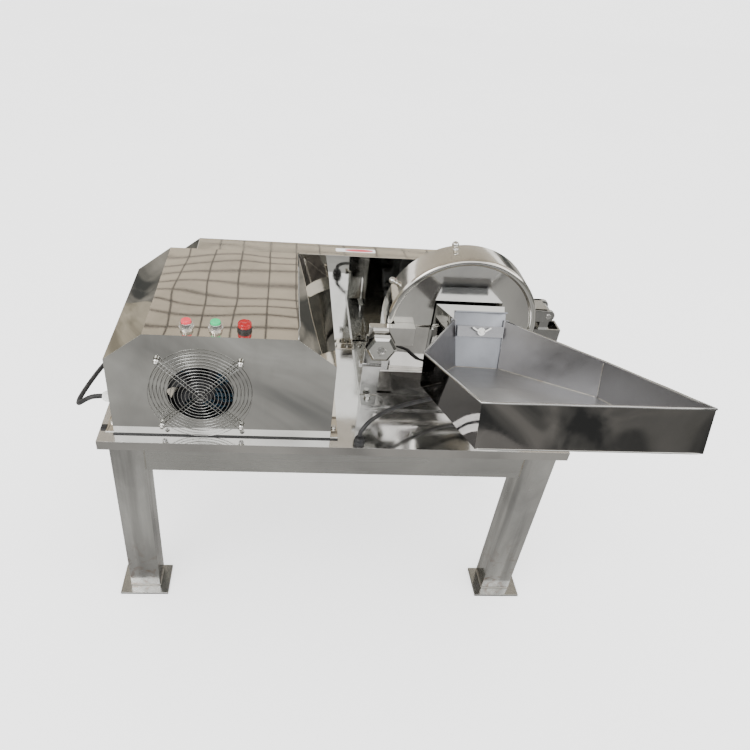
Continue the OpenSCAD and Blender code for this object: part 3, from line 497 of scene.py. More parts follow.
def coil_points():
    """Two layers of turns: in along the floor, up a diameter, and out again on top."""
    reach = (COIL_OUTER - COIL_INNER) / COIL_STEP
    climb = 0.3
    turns = 2 * reach + climb
    found = []
    count = int(turns * 40)
    for i in range(1, count):
        n = turns * i / count
        if n < reach:
            radius, height = COIL_OUTER - COIL_STEP * n, COIL_REST
        elif n < reach + climb:
            share = (n - reach) / climb
            radius, height = COIL_INNER, COIL_REST + COIL_STEP * share * share * (3 - 2 * share)
        else:
            radius = COIL_INNER + COIL_STEP * (n - reach - climb)
            height = COIL_REST + COIL_STEP
        angle = math.pi / 2 - 2 * math.pi * n * 5 / turns
        found.append((COIL_CENTRE[0] + radius * math.cos(angle),
                      COIL_CENTRE[1] + radius * math.sin(angle), FLOOR + height))
    return found


def curve_piece(name, points, radius, look):
    """A curve object of a radius in mm through points as at() takes them."""
    data = bpy.data.curves.new(name, "CURVE")
    data.dimensions = "3D"
    data.bevel_depth = radius * MM
    data.bevel_resolution = 5
    data.use_fill_caps = True
    line = data.splines.new("POLY")
    line.points.add(len(points) - 1)
    for point, place in zip(line.points, points):
        point.co = (*at(*place), 1)
    data.materials.append(MATERIALS[look])
    return link(bpy.data.objects.new(name, data))


def make_power_cord():
    """The mains lead from its gland, down behind the table and round its coil to the plug."""
    points = spline(CORD_ROUTE + coil_points()[::5] + TAIL_ROUTE, 6)
    cord = curve_piece("mains_cord", points, CORD_RADIUS, "rubber")
    settle(cord, "table", "black_rubber", "power_cord", "cord_coil")
    make_plug()


def make_plug():
    """A moulded plug: ribbed neck, grip with waist, and three pins."""
    bm = bmesh.new()
    place = facing(*TAIL_ROUTE[-1], (1, 0, 0))
    neck = [(0, 0.5)] + [(6.5 + 0.2 * i + (1.2 if i % 2 else 0), 1.5 + i * 1.4) for i in range(9)]
    lathe(bm, neck + [(11, 15), (15.5, 17), (16.8, 21), (15.8, 30), (16.8, 42), (16.2, 47.5), (0, 48)],
          place)
    for a in (0, 120, 240):
        spot = place @ Matrix.Rotation(math.radians(a), 4, "Z") @ Matrix.Translation((9 * MM, 0, 0))
        lathe(bm, [(0, 47), (2.3, 47), (2.3, 65), (1.6, 66.8), (0, 67)], spot, 16)
    plug = from_bmesh("mains_plug", bm, "black")
    return settle(plug, "table", "black_plastic", "cord_plug")


SENSOR_RADIUS = 4.5
SENSOR_GLAND = (541, 14, 0)
BOX_CENTRE, BOX_SIZE = (835, 160.2, 61), (0.026, 0.02, 0.03)
SENSOR_ROUTE = [
    (541, 14, 22), (544, 17, 34), (566, 33, 52), (610, 60, 60), (656, 86, 56),
    (704, 112, 50), (764, 140, 50), (826, 158, 60),
]


def make_sensor_cable():
    """The lead from the gland on the table to the box under the tray, held at both ends."""
    bm = bmesh.new()
    tube(bm, [at(*p) for p in spline(SENSOR_ROUTE, 8)], SENSOR_RADIUS, 14)
    gland = facing(*SENSOR_GLAND, (0, 0, 1))
    lathe(bm, [(0, -8), (6.5, -8), (6.5, 0.1), (11.5, 0.2), (11.5, 2), (12, 3), (12, 7.5), (11, 8.6),
               (9.5, 9), (9.5, 10), (10, 11), (10, 15), (8.5, 17.5), (5.2, 18), (0, 18)], gland, 24)
    cable = from_bmesh("sensor_lead", bm, "rubber")
    settle(cable, "table", "black_rubber", "sensor_cable")
    bm = bmesh.new()
    bmesh.ops.create_cube(bm, size=1)
    centre = at(*BOX_CENTRE)
    for v in bm.verts:
        v.co = v.co * Vector(BOX_SIZE) + centre
    box = from_bmesh("interlock_box", bm, "black", smooth=False)
    bevel(box, 2.5, 3)
    settle(box, "table", "black_plastic")


make_power_cord()
make_sensor_cable()


# ---- carried-over nodes -------------------------------------------------
EDGES = {
    "table_top": (1.6, 3), "motor_cover": (1.0, 3), "belt_guard": (1.0, 3), "lower_housing": (0.6, 2),
    "inlet_chute": (0.7, 2), "table_legs": (1.4, 3), "mill_base": (0.8, 2),
    "clamp_stud": (0.8, 2), "rail_front": (1.0, 2),
    "rail_back": (2.0, 3), "side_rails": (2.0, 3), "foot_plates": (1.2, 2), "discharge_spout": (0.5, 2),
    "hinge_bracket": (0.8, 2), "cover_lug": (0.8, 2), "clamp_post": (0.9, 2), "clamp_knob": (1.4, 3),
    "gate_guides": (0.5, 2), "slide_gate": (0.4, 2), "gate_strap": (0.6, 2), "table_bolts": (0.5, 2),
    "cord_gland": (0.8, 3), "motor_frame": (0.8, 2), "bearing_housing": (1.6, 3),
    "motor_terminal_box": (3.0, 3), "motor_cowl": (0.6, 2), "motor_end_shields": (1.5, 2),
    "fan_frame": (0.6, 2), "hinge_pin": (0.8, 2),
    "rotor_discs": (0.4, 1), "hammers_a": (0.4, 1), "hammers_b": (0.4, 1), "hammers_c": (0.4, 1),
    "hammers_d": (0.4, 1), "mill_pulley": (0.5, 2), "motor_pulley": (0.5, 2), "wing_screw": (0.5, 2),
}
for node, (width, segments) in EDGES.items():
    rounded(node, width, segments)

for node, shape in frame["nodes"].items():
    shape.data.materials.clear()
    shape.data.materials.append(MATERIALS[LOOK_OF[node]])


# ---- upper cover of the mill -------------------------------------------
DRUM_LOW, DRUM_HIGH = low_high("lower_housing")
AXIS_X = (DRUM_LOW.x + DRUM_HIGH.x) / 2
DRUM_FRONT = low_high("upper_cover")[0].y
DRUM_BACK = low_high("upper_cover")[1].y
AXIS_Z = 192.3
DRUM_RADIUS = 165


def half_lathe(bm, profile, centre, turns=72):
    """Sweeps (radius, y) points over the upper half turn about a centre (x, z), y measured from the back."""
    rings = []
    for i in range(turns + 1):
        a = math.pi * i / turns
        rings.append([at(centre[0] + r * math.cos(a), y, centre[1] + r * math.sin(a)) for r, y in profile])
    loft(bm, rings)


def make_upper_cover():
    """The rolled sheet with its turned-in front bead, and the dished front plate behind the bead."""
    centre = (AXIS_X, AXIS_Z)
    inner = DRUM_RADIUS - 3
    plate_edge = inner + 0.5
    turn_in, shaft_hole = 8, 22
    bm = bmesh.new()
    curl = [(DRUM_RADIUS - turn_in + turn_in * math.cos(a), DRUM_FRONT + turn_in - turn_in * math.sin(a))
            for a in (math.pi * k / 14 for k in range(15))]
    half_lathe(bm, [(DRUM_RADIUS, DRUM_BACK)] + curl
               + [(DRUM_RADIUS - 2 * turn_in, DRUM_FRONT + 9), (inner, DRUM_FRONT + 11), (inner, DRUM_BACK)],
               centre)
    half_lathe(bm, [(plate_edge, DRUM_FRONT + 6), (plate_edge, DRUM_FRONT + 9), (0.5, DRUM_FRONT + 9),
                    (0.5, DRUM_FRONT + 6)], centre)
    half_lathe(bm, [(plate_edge, DRUM_BACK - 3), (plate_edge, DRUM_BACK), (shaft_hole, DRUM_BACK),
                    (shaft_hole, DRUM_BACK - 3)], centre)
    bmesh.ops.recalc_face_normals(bm, faces=bm.faces)
    shell = from_bmesh("upper_cover_shell", bm, "drum_steel")
    shell.data.set_sharp_from_angle(angle=math.radians(30))
    settle(shell, "cover", "mirror_stainless", "upper_cover")
    make_hinge_ears()


def slab(bm, outline, place, thickness):
    """A plate: an outline of (a, b) points in mm in the XY plane of place, made thick along its Z."""
    low = [place @ (Vector((a, b, 0)) * MM) for a, b in outline]
    high = [place @ (Vector((a, b, thickness)) * MM) for a, b in outline]
    loft(bm, [low, high])


def arc(centre, radius, start, end, steps=12):
    """Points along an arc, from one angle in degrees to another."""
    return [(centre[0] + radius * math.cos(math.radians(start + (end - start) * i / steps)),
             centre[1] + radius * math.sin(math.radians(start + (end - start) * i / steps)))
            for i in range(steps + 1)]


def make_hinge_ears():
    """Two ears on the cover's right side, joined by a plate over the hinge pin."""
    bm = bmesh.new()
    pin = (AXIS_X + 190, 227)
    eye = 14
    first_ear, last_ear, ear_width = 188, 234, 8
    upright = Matrix(((1, 0, 0), (0, 0, 1), (0, 1, 0))).to_4x4()
    root_x = AXIS_X + DRUM_RADIUS - 2
    for y in (first_ear, last_ear):
        place = Matrix.Translation(at(0, y, 0)) @ upright
        outline = [(root_x - 2, pin[1] - eye), (pin[0], pin[1] - eye)] + arc(pin, eye, -90, 90)[1:]
        outline += [(root_x - 12, pin[1] + eye)]
        slab(bm, outline, place, ear_width)
    bmesh.ops.recalc_face_normals(bm, faces=bm.faces)
    ears = from_bmesh("hinge_ears", bm, "bracket_steel", smooth=False)
    bevel(ears, 1.0, 2)
    settle(ears, "cover", "satin_stainless")
    bm = bmesh.new()
    flat = Matrix.Translation(at(0, 0, pin[1] + 11))
    low_x, high_x, back = AXIS_X + DRUM_RADIUS - 9, pin[0] - 4, last_ear + ear_width
    slab(bm, [(low_x, first_ear), (high_x, first_ear), (high_x, back), (low_x, back)], flat, 3)
    bmesh.ops.recalc_face_normals(bm, faces=bm.faces)
    plate = from_bmesh("hinge_plate", bm, "bracket_steel", smooth=False)
    bevel(plate, 0.8, 2)
    settle(plate, "cover", "satin_stainless")


def make_cover_knobs():
    """Ball knobs on short stems with a collar, on the crown and on the left flank."""
    bm = bmesh.new()
    for angle in (101, 152):
        a = math.radians(angle)
        out = Vector((math.cos(a), 0, math.sin(a)))
        foot = Vector((AXIS_X, 233, AXIS_Z)) + out * (DRUM_RADIUS - 1)
        ball = [(7.5 * math.cos(math.radians(t)), 11 + 7.5 * math.sin(math.radians(t)))
                for t in range(-62, 91, 14)]
        lathe(bm, [(0, 0), (6, 0.2), (6, 1.6), (5, 2.4), (3.4, 3)] + ball + [(0, 18.5)],
              facing(*foot, out), 28)
    settle(from_bmesh("ball_knobs", bm, "fittings"), "cover", "bright_fittings", "cover_knobs")


# ---- fan ---------------------------------------------------------------
FAN_X, FAN_Z, COVER_FRONT = 213, 111, 25
GUARD_RADIUS, GUARD_RINGS, SCREW_REACH = 102, 14, 80


def make_fan_guard():
    """Concentric wire rings on two crossed pairs of wires, bent in to an eye at each end."""
    bm = bmesh.new()
    for k in range(1, GUARD_RINGS + 1):
        radius = GUARD_RADIUS * k / GUARD_RINGS
        path = [at(FAN_X + radius * math.cos(2 * math.pi * i / 72), COVER_FRONT - 9,
                   FAN_Z + radius * math.sin(2 * math.pi * i / 72)) for i in range(72)]
        tube(bm, path, 0.75, 8, closed=True)
    for angle in (45, 135):
        a = math.radians(angle)
        along, across = Vector((math.cos(a), 0, math.sin(a))), Vector((-math.sin(a), 0, math.cos(a)))
        for side in (-1, 1):
            path = []
            for t in (-113, -109, -103, -60, 0, 60, 103, 109, 113):
                pinch = 4 * side if abs(t) < 104 else 5.2 * side if abs(t) < 110 else 1.2 * side
                spot = along * t + across * pinch
                path.append(at(FAN_X + spot.x, COVER_FRONT - 7.0, FAN_Z + spot.z))
            tube(bm, path, 0.95, 8)
    settle(from_bmesh("wire_guard", bm, "wire"), "table", "bright_fittings", "fan_guard")
    bm = bmesh.new()
    for x in (-SCREW_REACH, SCREW_REACH):
        for z in (-SCREW_REACH, SCREW_REACH):
            dome = [(4.4 * math.cos(math.radians(t)), 5.5 + 3.2 * math.sin(math.radians(t)))
                    for t in range(0, 90, 15)]
            lathe(bm, [(0, -16), (2, -16), (2, -9), (5.6, -9), (5.6, -0.2), (6.6, 0), (6.6, 1), (4.4, 1.1)]
                  + dome + [(0, 8.7)], facing(FAN_X + x, COVER_FRONT - 6.5, FAN_Z + z), 24)
    settle(from_bmesh("guard_screws", bm, "fittings"), "table", "bright_fittings", "fan_screws")


def make_fan_rotor():
    """A hub with a domed cap and seven swept blades, each twisted from root to tip."""
    bm = bmesh.new()
    place = facing(FAN_X, 64, FAN_Z)
    lathe(bm, [(0, 0), (28.5, 0), (29, 1), (29, 26), (27, 29), (20, 29.8), (19, 28.8), (0, 28.8)], place, 40)
    blades = 7
    for k in range(blades):
        rings = []
        for i in range(9):
            share = i / 8
            radius = 27 + 50 * share
            pitch = math.radians(52 - 26 * share)
            sweep = 2 * math.pi * k / blades + 0.35 * share * share
            half = 13 + 7 * share
            ring = []
            for c, thick in ((-1, 0), (-0.5, 0.9), (0, 1.2), (0.5, 0.9), (1, 0), (0.5, -0.7), (0, -0.9),
                             (-0.5, -0.7)):
                turn = sweep + c * half * math.cos(pitch) / radius
                height = 15 + min(10.2, half * math.sin(pitch)) * c + thick + 2.0 * (1 - c * c)
                ring.append(place @ (Vector((radius * math.cos(turn), radius * math.sin(turn), height)) * MM))
            rings.append(ring)
        loft(bm, rings)
    bmesh.ops.recalc_face_normals(bm, faces=bm.faces)
    rotor = from_bmesh("fan_impeller", bm, "fan_black")
    rotor.data.set_sharp_from_angle(angle=math.radians(40))
    settle(rotor, "fan", "black_fan_plastic", "fan_rotor")


# ---- controls ----------------------------------------------------------
BUTTON_X = (189, 244, 299)
BUTTON_Y, COVER_TOP = 55, 249


def make_bezels():
    """Bright rings with fluted sides round the two push buttons, and the threads and nuts under them."""
    bm = bmesh.new()
    for x in BUTTON_X[:2]:
        place = facing(x, BUTTON_Y, COVER_TOP, (0, 0, 1))
        rings = []
        for radius, height, flute in (
                (9.8, -24, 0), (11, -24, 0), (11, -7.1, 0), (14, -7, 0), (14, -2.1, 0), (11, -2, 0),
                (11, 0.05, 0), (14.3, 0.1, 0), (14.5, 0.8, 0), (14.3, 2.2, 0), (12.8, 2.8, 0),
                (12.4, 3.2, 0.35), (12.1, 11.0, 0.35), (11.4, 12.2, 0), (10.4, 12.2, 0), (9.8, 11.2, 0)):
            ring = []
            for i in range(96):
                a = 2 * math.pi * i / 96
                r = radius + flute * math.cos(24 * a)
                ring.append(place @ (Vector((r * math.cos(a), r * math.sin(a), height)) * MM))
            rings.append(ring)
        loft(bm, rings, closed=True)
    bmesh.ops.recalc_face_normals(bm, faces=bm.faces)
    bezels = from_bmesh("button_rings", bm, "fittings")
    bezels.data.set_sharp_from_angle(angle=math.radians(50))
    settle(bezels, "table", "bright_fittings", "button_bezels")


def make_button(name, x, look, slot, node, body):
    """A push button with a shallow dish and a rounded rim."""
    bm = bmesh.new()
    lathe(bm, [(0, -12), (9.6, -12), (9.72, -11.5), (9.72, 15.6), (9.4, 16.6), (8.6, 17), (7.6, 16.7),
               (4, 16.1), (0, 16)], facing(x, BUTTON_Y, COVER_TOP, (0, 0, 1)), 48)
    button = from_bmesh(name, bm, look)
    button.data.set_sharp_from_angle(angle=math.radians(60))
    settle(button, body, slot, node)


def make_pilot_lamp():
    """A black base with a ribbed collar and a fresnel lens cap in red."""
    place = facing(BUTTON_X[2], BUTTON_Y, COVER_TOP, (0, 0, 1))
    bm = bmesh.new()
    lathe(bm, [(0, -30), (11, -30), (11, -7), (14, -7), (14, -2), (11, -2), (11, 0), (14.4, 0.1),
               (14.5, 1), (14.5, 4.4), (13.8, 5.2), (13.2, 5.4), (13.2, 7.4), (0, 7.4)], place)
    base = from_bmesh("lamp_base", bm, "black")
    base.data.set_sharp_from_angle(angle=math.radians(40))
    settle(base, "table", "black_plastic", "pilot_base")
    bm = bmesh.new()
    lathe(bm, [(0, 7.3), (13.2, 7.3), (13.4, 8), (13.4, 14), (13, 15.2), (11.6, 16.2), (11.2, 15.7),
               (10.2, 16.6), (9.6, 16.1), (8.2, 17), (7.6, 16.5), (5.4, 17.3), (4.8, 16.9), (0, 17.5)], place)
    lens = from_bmesh("lamp_lens", bm, "red")
    lens.data.set_sharp_from_angle(angle=math.radians(50))
    settle(lens, "table", "red_plastic", "pilot_lens")


# ---- feed tray ---------------------------------------------------------
TILT = math.radians(15)
TRAY_MOUTH = (95, 247)
SHEET, INSET = 2, 2.6
TRAY_MIDDLE = Vector((800, 180))
# Each corner's place across, place up the tray and height off the rim's plane, from the mouth round.
RIM_LINE = [(717.5, -12, 13.2), (625, 151, -3), (668, 374, 0), (1037, 372, 0), (956, 166, -2),
            (826.8, -12, 13.3)]
FLOOR_LINE = [(722.5, 16, -78.6), (625, 151, -66), (668, 374, -78), (1037, 372, -78), (958, 166, -75),
              (815.9, 16, -80.7)]


def in_tray(x, up, off):
    """A point of the tray: x across, up the floor from the mouth, and off the rim's plane, in mm."""
    return at(x, TRAY_MOUTH[0] - up * math.cos(TILT) + off * math.sin(TILT),
              TRAY_MOUTH[1] + up * math.sin(TILT) + off * math.cos(TILT))


def moved_in(corners, lift=0.0):
    """Corners moved towards the tray's middle by the wall's thickness, and lifted off the plane."""
    found = []
    for i, (x, up, off) in enumerate(corners):
        inward = (TRAY_MIDDLE - Vector((x, up))).normalized() * INSET
        if i in (0, len(corners) - 1):
            inward = Vector((INSET if i == 0 else -INSET, 0))
        found.append((x + inward.x, up + inward.y, off + lift))
    return found


def patch(bm, corners, across=1, up=1):
    """A grid of faces over four tray corners given round the patch, bent smoothly if they don't lie flat."""
    a, b, c, d = (Vector(corner) for corner in corners)
    rows = [[bm.verts.new(in_tray(*a.lerp(b, i / across).lerp(d.lerp(c, i / across), j / up)))
             for i in range(across + 1)] for j in range(up + 1)]
    for j in range(up):
        for i in range(across):
            bm.faces.new((rows[j][i], rows[j][i + 1], rows[j + 1][i + 1], rows[j + 1][i]))


def make_tray():
    """Kinked floor and bent walls of one sheet, open at the gate, with the outside polished."""
    rim_in, floor_in = moved_in(RIM_LINE), moved_in(FLOOR_LINE, SHEET)
    bm = bmesh.new()
    inside = bmesh.new()
    for i in range(5):
        patch(bm, (FLOOR_LINE[i], FLOOR_LINE[i + 1], RIM_LINE[i + 1], RIM_LINE[i]), 8, 4)
        patch(inside, (floor_in[i], floor_in[i + 1], rim_in[i + 1], rim_in[i]), 8, 4)
        patch(inside, (rim_in[i], rim_in[i + 1], RIM_LINE[i + 1], RIM_LINE[i]), 8, 1)
    for part in ((0, 1, 4, 5), (1, 2, 3, 4)):
        patch(bm, [FLOOR_LINE[k] for k in part], 8, 8)
        patch(inside, [floor_in[k] for k in part], 8, 8)
    patch(inside, (floor_in[0], FLOOR_LINE[0], RIM_LINE[0], rim_in[0]), 1, 4)
    patch(inside, (floor_in[5], FLOOR_LINE[5], RIM_LINE[5], rim_in[5]), 1, 4)
    patch(inside, (floor_in[0], floor_in[5], FLOOR_LINE[5], FLOOR_LINE[0]), 8, 1)
    for mesh, name, look, nodes in ((bm, "tray_outside", "tray_outer_steel", ()),
                                    (inside, "tray_inside", "tray_inner_steel", ("feed_tray",))):
        bmesh.ops.remove_doubles(mesh, verts=mesh.verts, dist=1e-5)
        bmesh.ops.recalc_face_normals(mesh, faces=mesh.faces)
        piece = from_bmesh(name, mesh, look)
        piece.data.set_sharp_from_angle(angle=math.radians(15))
        settle(piece, "table", "tray_stainless", *nodes)
    make_tray_rim()
    make_tray_seams(rim_in, floor_in)


def make_tray_rim():
    """The folded edge round five sides, thick enough to catch the light."""
    bm = bmesh.new()
    path = []
    for i in range(5):
        a, b = Vector(RIM_LINE[i]), Vector(RIM_LINE[i + 1])
        steps = max(2, int((b - a).length / 40))
        for k in range(steps if i < 4 else steps + 1):
            p = a + (b - a) * k / steps
            path.append(in_tray(p.x, p.y, p.z - 0.6 + 0.25 * math.sin(p.x * 0.05 + p.y * 0.07)))
    tube(bm, path, 2.1, 12)
    settle(from_bmesh("tray_rim", bm, "rim_steel"), "table", "tray_stainless")


def bead(bm, start, end, radius, lumps=3.0):
    """A weld bead between two frame points: a tube with small ripples."""
    length = (end - start).length / MM
    count = max(4, int(length / lumps))
    rings = []
    along = (end - start).normalized()
    across = along.orthogonal().normalized()
    up = along.cross(across)
    for i in range(count + 1):
        r = radius * (0.85 + 0.25 * random.random()) if 0 < i < count else radius * 0.3
        p = start.lerp(end, i / count)
        rings.append([p + (across * math.cos(math.pi * k / 4) + up * math.sin(math.pi * k / 4)) * r * MM
                      for k in range(8)])
    loft(bm, rings)


def make_tray_seams(rim_in, floor_in):
    """Bright bend lines in the tray's inner corners, and the weld across its mouth."""
    bm = bmesh.new()
    for i in range(5):
        a, b = Vector(floor_in[i]), Vector(floor_in[i + 1])
        bead(bm, in_tray(a.x, a.y, a.z + 0.4), in_tray(b.x, b.y, b.z + 0.4), 1.1, 6)
    for low, high in list(zip(floor_in, rim_in))[1:5]:
        bead(bm, in_tray(low[0], low[1], low[2] + 1), in_tray(high[0], high[1], high[2] - 3), 0.9, 5)
    a, b = Vector(floor_in[0]), Vector(floor_in[5])
    bead(bm, in_tray(a.x, a.y + 1, a.z), in_tray(b.x, b.y + 1, b.z), 0.9, 5)
    settle(from_bmesh("tray_seams", bm, "weld"), "table", "tray_stainless")
    bm = bmesh.new()
    a, b = Vector(FLOOR_LINE[2]), Vector(FLOOR_LINE[3])
    bead(bm, in_tray(a.x + 1, a.y - 0.4, a.z + 0.4), in_tray(b.x - 1, b.y - 0.4, b.z + 0.4), 1.5, 9)
    settle(from_bmesh("tray_front_bend", bm, "wire"), "table", "tray_stainless")


# ---- small trim --------------------------------------------------------
def make_cover_trim():
    """The dark seal under the cover's front, its bright corner lip, and the two screws in front of it."""
    bm = bmesh.new()
    slab(bm, [(30, 22.6), (497, 22.6), (497, 26), (30, 26)], Matrix.Translation(at(0, 0, 0.1)), 2.4)
    slab(bm, [(2, 36), (14, 36), (14, 51), (2, 51)], Matrix.Translation(at(0, 0, 0.1)), 3.2)
    bmesh.ops.recalc_face_normals(bm, faces=bm.faces)
    seal = from_bmesh("cover_seal", bm, "black", smooth=False)
    bevel(seal, 0.6, 2)
    settle(seal, "table", "black_rubber")
    bm = bmesh.new()
    for x in (138, 294):
        lathe(bm, [(0, 0), (5, 0), (5, 0.8), (4.2, 2), (2.2, 2.6), (2, 1.6), (0, 1.6)],
              facing(x, 9, 0, (0, 0, 1)), 24)
    settle(from_bmesh("strip_screws", bm, "machined"), "table", "bright_fittings")
    bm = bmesh.new()
    edge = [(404, 392, 250), (404, 300, 250.2), (403.6, 200, 250), (404.2, 120, 250.3), (405.5, 70, 250.8),
            (404, 66, 249.6), (402.6, 60, 249.4), (402.4, 27, 249.4)]
    tube(bm, [at(x, y, z - 0.6) for x, y, z in edge], 1.3, 8)
    settle(from_bmesh("cover_lip", bm, "wire"), "table", "mirror_stainless")


def make_label():
    """A plain blank label with a red oval on the guard's top."""
    bm = bmesh.new()
    outline = (arc((496, 416), 3, 180, 270, 4) + arc((585, 416), 3, 270, 360, 4)
               + arc((585, 427), 3, 0, 90, 4) + arc((496, 427), 3, 90, 180, 4))
    slab(bm, outline, Matrix.Translation(at(0, 0, 249.05)), 0.4)
    bmesh.ops.recalc_face_normals(bm, faces=bm.faces)
    settle(from_bmesh("blank_label", bm, "label_white", smooth=False), "table", "mirror_stainless")
    bm = bmesh.new()
    oval = [(549 + 34 * math.cos(2 * math.pi * i / 40), 421.5 + 6 * math.sin(2 * math.pi * i / 40))
            for i in range(40)]
    slab(bm, oval, Matrix.Translation(at(0, 0, 249.4)), 0.25)
    bmesh.ops.recalc_face_normals(bm, faces=bm.faces)
    settle(from_bmesh("label_oval", bm, "label_red", smooth=False), "table", "mirror_stainless")


LEG_WIDTH, LEG_DEPTH = 70, 60


def make_welds():
    """Weld beads at the feet of the legs, at the front rail's ends, and on the clamp post and bracket."""
    bm = bmesh.new()
    low, high = low_high("table_legs")
    for x in (low.x, high.x - LEG_WIDTH):
        for y in (low.y, high.y - LEG_DEPTH):
            ring = [(x, y), (x + LEG_WIDTH, y), (x + LEG_WIDTH, y + LEG_DEPTH), (x, y + LEG_DEPTH)]
            for k in range(4):
                (x0, y0), (x1, y1) = ring[k], ring[(k + 1) % 4]
                bead(bm, at(x0, y0, low.z + 0.6), at(x1, y1, low.z + 0.6), 2.2, 3.2)
    for x in (94, 906):
        bead(bm, at(x, 3.5, -78), at(x, 3.5, -23), 1.6, 3)
    bead(bm, at(554, 168, 12.5), at(592, 168, 12.5), 1.5, 2.6)
    bracket_x = DRUM_HIGH.x - 38
    bead(bm, at(bracket_x, 236, 152), at(bracket_x, 236, 188), 1.5, 2.6)
    settle(from_bmesh("welds", bm, "weld"), "table", "satin_stainless")


make_upper_cover()
make_cover_knobs()
make_fan_guard()
make_fan_rotor()
make_bezels()
make_button("stop_cap", BUTTON_X[0], "pale_red", "red_plastic", "stop_button", "stop")
make_button("start_cap", BUTTON_X[1], "green", "green_plastic", "start_button", "start")
make_pilot_lamp()
make_tray()
make_cover_trim()
make_label()
make_welds()


# ---- floor and light ---------------------------------------------------
WORLD_LIGHT = 1.9
ROOM_HALF, ROOM_BACK, WALL_HEIGHT = 4, 6, 1.7
SIDE_X, SIDE_FRONT, SIDE_BACK, SIDE_HEIGHT = -3.9, -2.5, 5.5, 1.8
JUST_ABOVE_FLOOR = 0.0005


def make_stage():
    """The pale floor, the room that only the steel shows, the world and two soft lights."""
    floor_look = Nodes("floor")
    tone = floor_look.noise(1.2, 3, 0.5)
    floor_look.colour(floor_look.ramp(tone, (0.3, (0.91, 0.91, 0.91)), (0.7, (0.94, 0.94, 0.94))))
    floor_look.shader.inputs["Roughness"].default_value = 0.85
    floor_look.shader.inputs["Emission Color"].default_value = (1, 1, 1, 1)
    floor_look.shader.inputs["Emission Strength"].default_value = 1.2
    bm = bmesh.new()
    bmesh.ops.create_grid(bm, x_segments=1, y_segments=1, size=20)
    mesh = bpy.data.meshes.new("floor")
    bm.to_mesh(mesh)
    bm.free()
    mesh.materials.append(floor_look.material)
    floor = link(bpy.data.objects.new("floor", mesh))

    make_ceiling()
    make_surroundings()
    make_world()
    for name, place, size, power in (
            ("key", (-1.6, -1.4, 2.8), 1.6, 38), ("fill", (2.4, -0.8, 2.4), 2.0, 18)):
        data = bpy.data.lights.new(name, "AREA")
        data.size = size
        data.energy = power
        lamp = link(bpy.data.objects.new(name, data))
        lamp.location = place
        lamp.rotation_euler = (Vector((0, 0, 0.5)) - Vector(place)).to_track_quat("-Z", "Y").to_euler()


def make_ceiling():
    """A warm panelled ceiling that only the polished sheets see."""
    glow = Nodes("ceiling")
    panels = glow.tree.nodes.new("ShaderNodeTexBrick")
    glow.link(glow.stretch((1, 0.5, 1)), panels.inputs["Vector"])
    panels.offset = 0.0
    panels.inputs["Scale"].default_value = 1.0
    panels.inputs["Brick Width"].default_value = 0.29
    panels.inputs["Row Height"].default_value = 0.1
    panels.inputs["Mortar Size"].default_value = 0.009
    panels.inputs["Color1"].default_value = (0.66, 0.6, 0.5, 1)
    panels.inputs["Color2"].default_value = (0.62, 0.565, 0.475, 1)
    panels.inputs["Mortar"].default_value = (0.1, 0.09, 0.08, 1)
    glow.shader.inputs["Base Color"].default_value = (0, 0, 0, 1)
    glow.link(panels.outputs["Color"], glow.shader.inputs["Emission Color"])
    glow.shader.inputs["Emission Strength"].default_value = 1.0
    bm = bmesh.new()
    bmesh.ops.create_grid(bm, x_segments=1, y_segments=1, size=5)
    seen_by_metal_only("ceiling", bm, glow.material).location = (0.3, 3.2, 3.2)


def seen_by_metal_only(name, bm, look):
    """A piece of the room that shows in the polished sheets, and neither in the view nor in the light."""
    mesh = bpy.data.meshes.new(name)
    bm.to_mesh(mesh)
    bm.free()
    mesh.materials.append(look)
    piece = link(bpy.data.objects.new(name, mesh))
    piece.visible_camera = False
    piece.visible_diffuse = False
    piece.visible_shadow = False
    return piece


def glowing(name, scale, *stops):
    """A dim surface with soft patches between the tones given."""
    glow = Nodes(name)
    glow.shader.inputs["Base Color"].default_value = (0, 0, 0, 1)
    glow.link(glow.ramp(glow.noise(scale, 4, 0.55, 1.6), *stops), glow.shader.inputs["Emission Color"])
    glow.shader.inputs["Emission Strength"].default_value = 1.0
    return glow.material


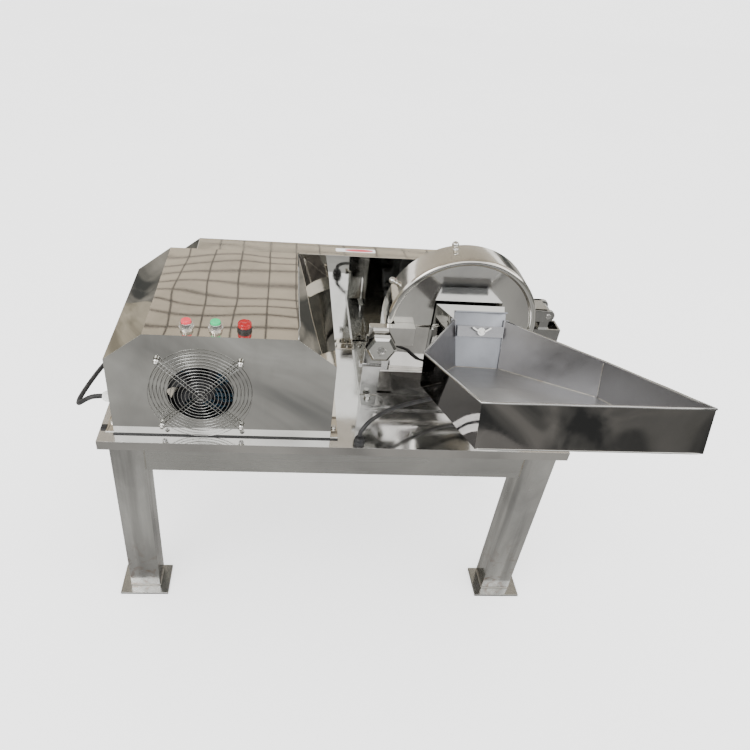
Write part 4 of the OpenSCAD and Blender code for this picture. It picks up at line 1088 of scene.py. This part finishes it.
def make_surroundings():
    """Grey, patchy ground, a darker low wall round the machine and a warmer wall on its left."""
    bm = bmesh.new()
    bmesh.ops.create_grid(bm, x_segments=1, y_segments=1, size=9)
    tones = ((0.34, (0.12, 0.12, 0.12)), (0.46, (0.36, 0.35, 0.33)), (0.6, (0.5, 0.49, 0.46)),
             (0.76, (0.72, 0.71, 0.7)))
    ground = seen_by_metal_only("ground", bm, glowing("ground", 0.9, *tones))
    ground.location.z = JUST_ABOVE_FLOOR
    bm = bmesh.new()
    corners = ((-ROOM_HALF, -ROOM_HALF), (ROOM_HALF, -ROOM_HALF), (ROOM_HALF, ROOM_BACK),
               (-ROOM_HALF, ROOM_BACK))
    loft(bm, [[Vector((x, y, z)) for x, y in corners] for z in (0.0, WALL_HEIGHT)], caps=False)
    tones = ((0.4, (0.07, 0.075, 0.075)), (0.52, (0.24, 0.24, 0.225)), (0.66, (0.42, 0.41, 0.38)))
    seen_by_metal_only("low_wall", bm, glowing("low_wall", 1.1, *tones))
    bm = bmesh.new()
    outline = ((SIDE_FRONT, 0.002), (SIDE_BACK, 0.002), (SIDE_BACK, SIDE_HEIGHT), (SIDE_FRONT, SIDE_HEIGHT))
    bm.faces.new([bm.verts.new((SIDE_X, y, z)) for y, z in outline])
    tones = ((0.35, (0.28, 0.26, 0.21)), (0.5, (0.46, 0.43, 0.35)), (0.7, (0.6, 0.56, 0.47)))
    seen_by_metal_only("side_wall", bm, glowing("side_wall", 1.6, *tones))


def make_world():
    """White studio light, a little weaker towards the horizon."""
    world = bpy.data.worlds.new("world")
    bpy.context.scene.world = world
    world.use_nodes = True
    tree = world.node_tree
    background = tree.nodes["Background"]
    direction = tree.nodes.new("ShaderNodeTexCoord").outputs["Generated"]
    split = tree.nodes.new("ShaderNodeSeparateXYZ")
    fade = tree.nodes.new("ShaderNodeValToRGB")
    tree.links.new(direction, split.inputs[0])
    tree.links.new(split.outputs["Z"], fade.inputs["Fac"])
    stops = ((0.0, 0.8), (0.3, 1.0))
    for element, (position, tone) in zip(fade.color_ramp.elements, stops):
        element.position = position
        element.color = (tone, tone, tone, 1)
    tree.links.new(fade.outputs["Color"], background.inputs["Color"])
    background.inputs["Strength"].default_value = WORLD_LIGHT


make_stage()

bpy.context.view_layer.update()
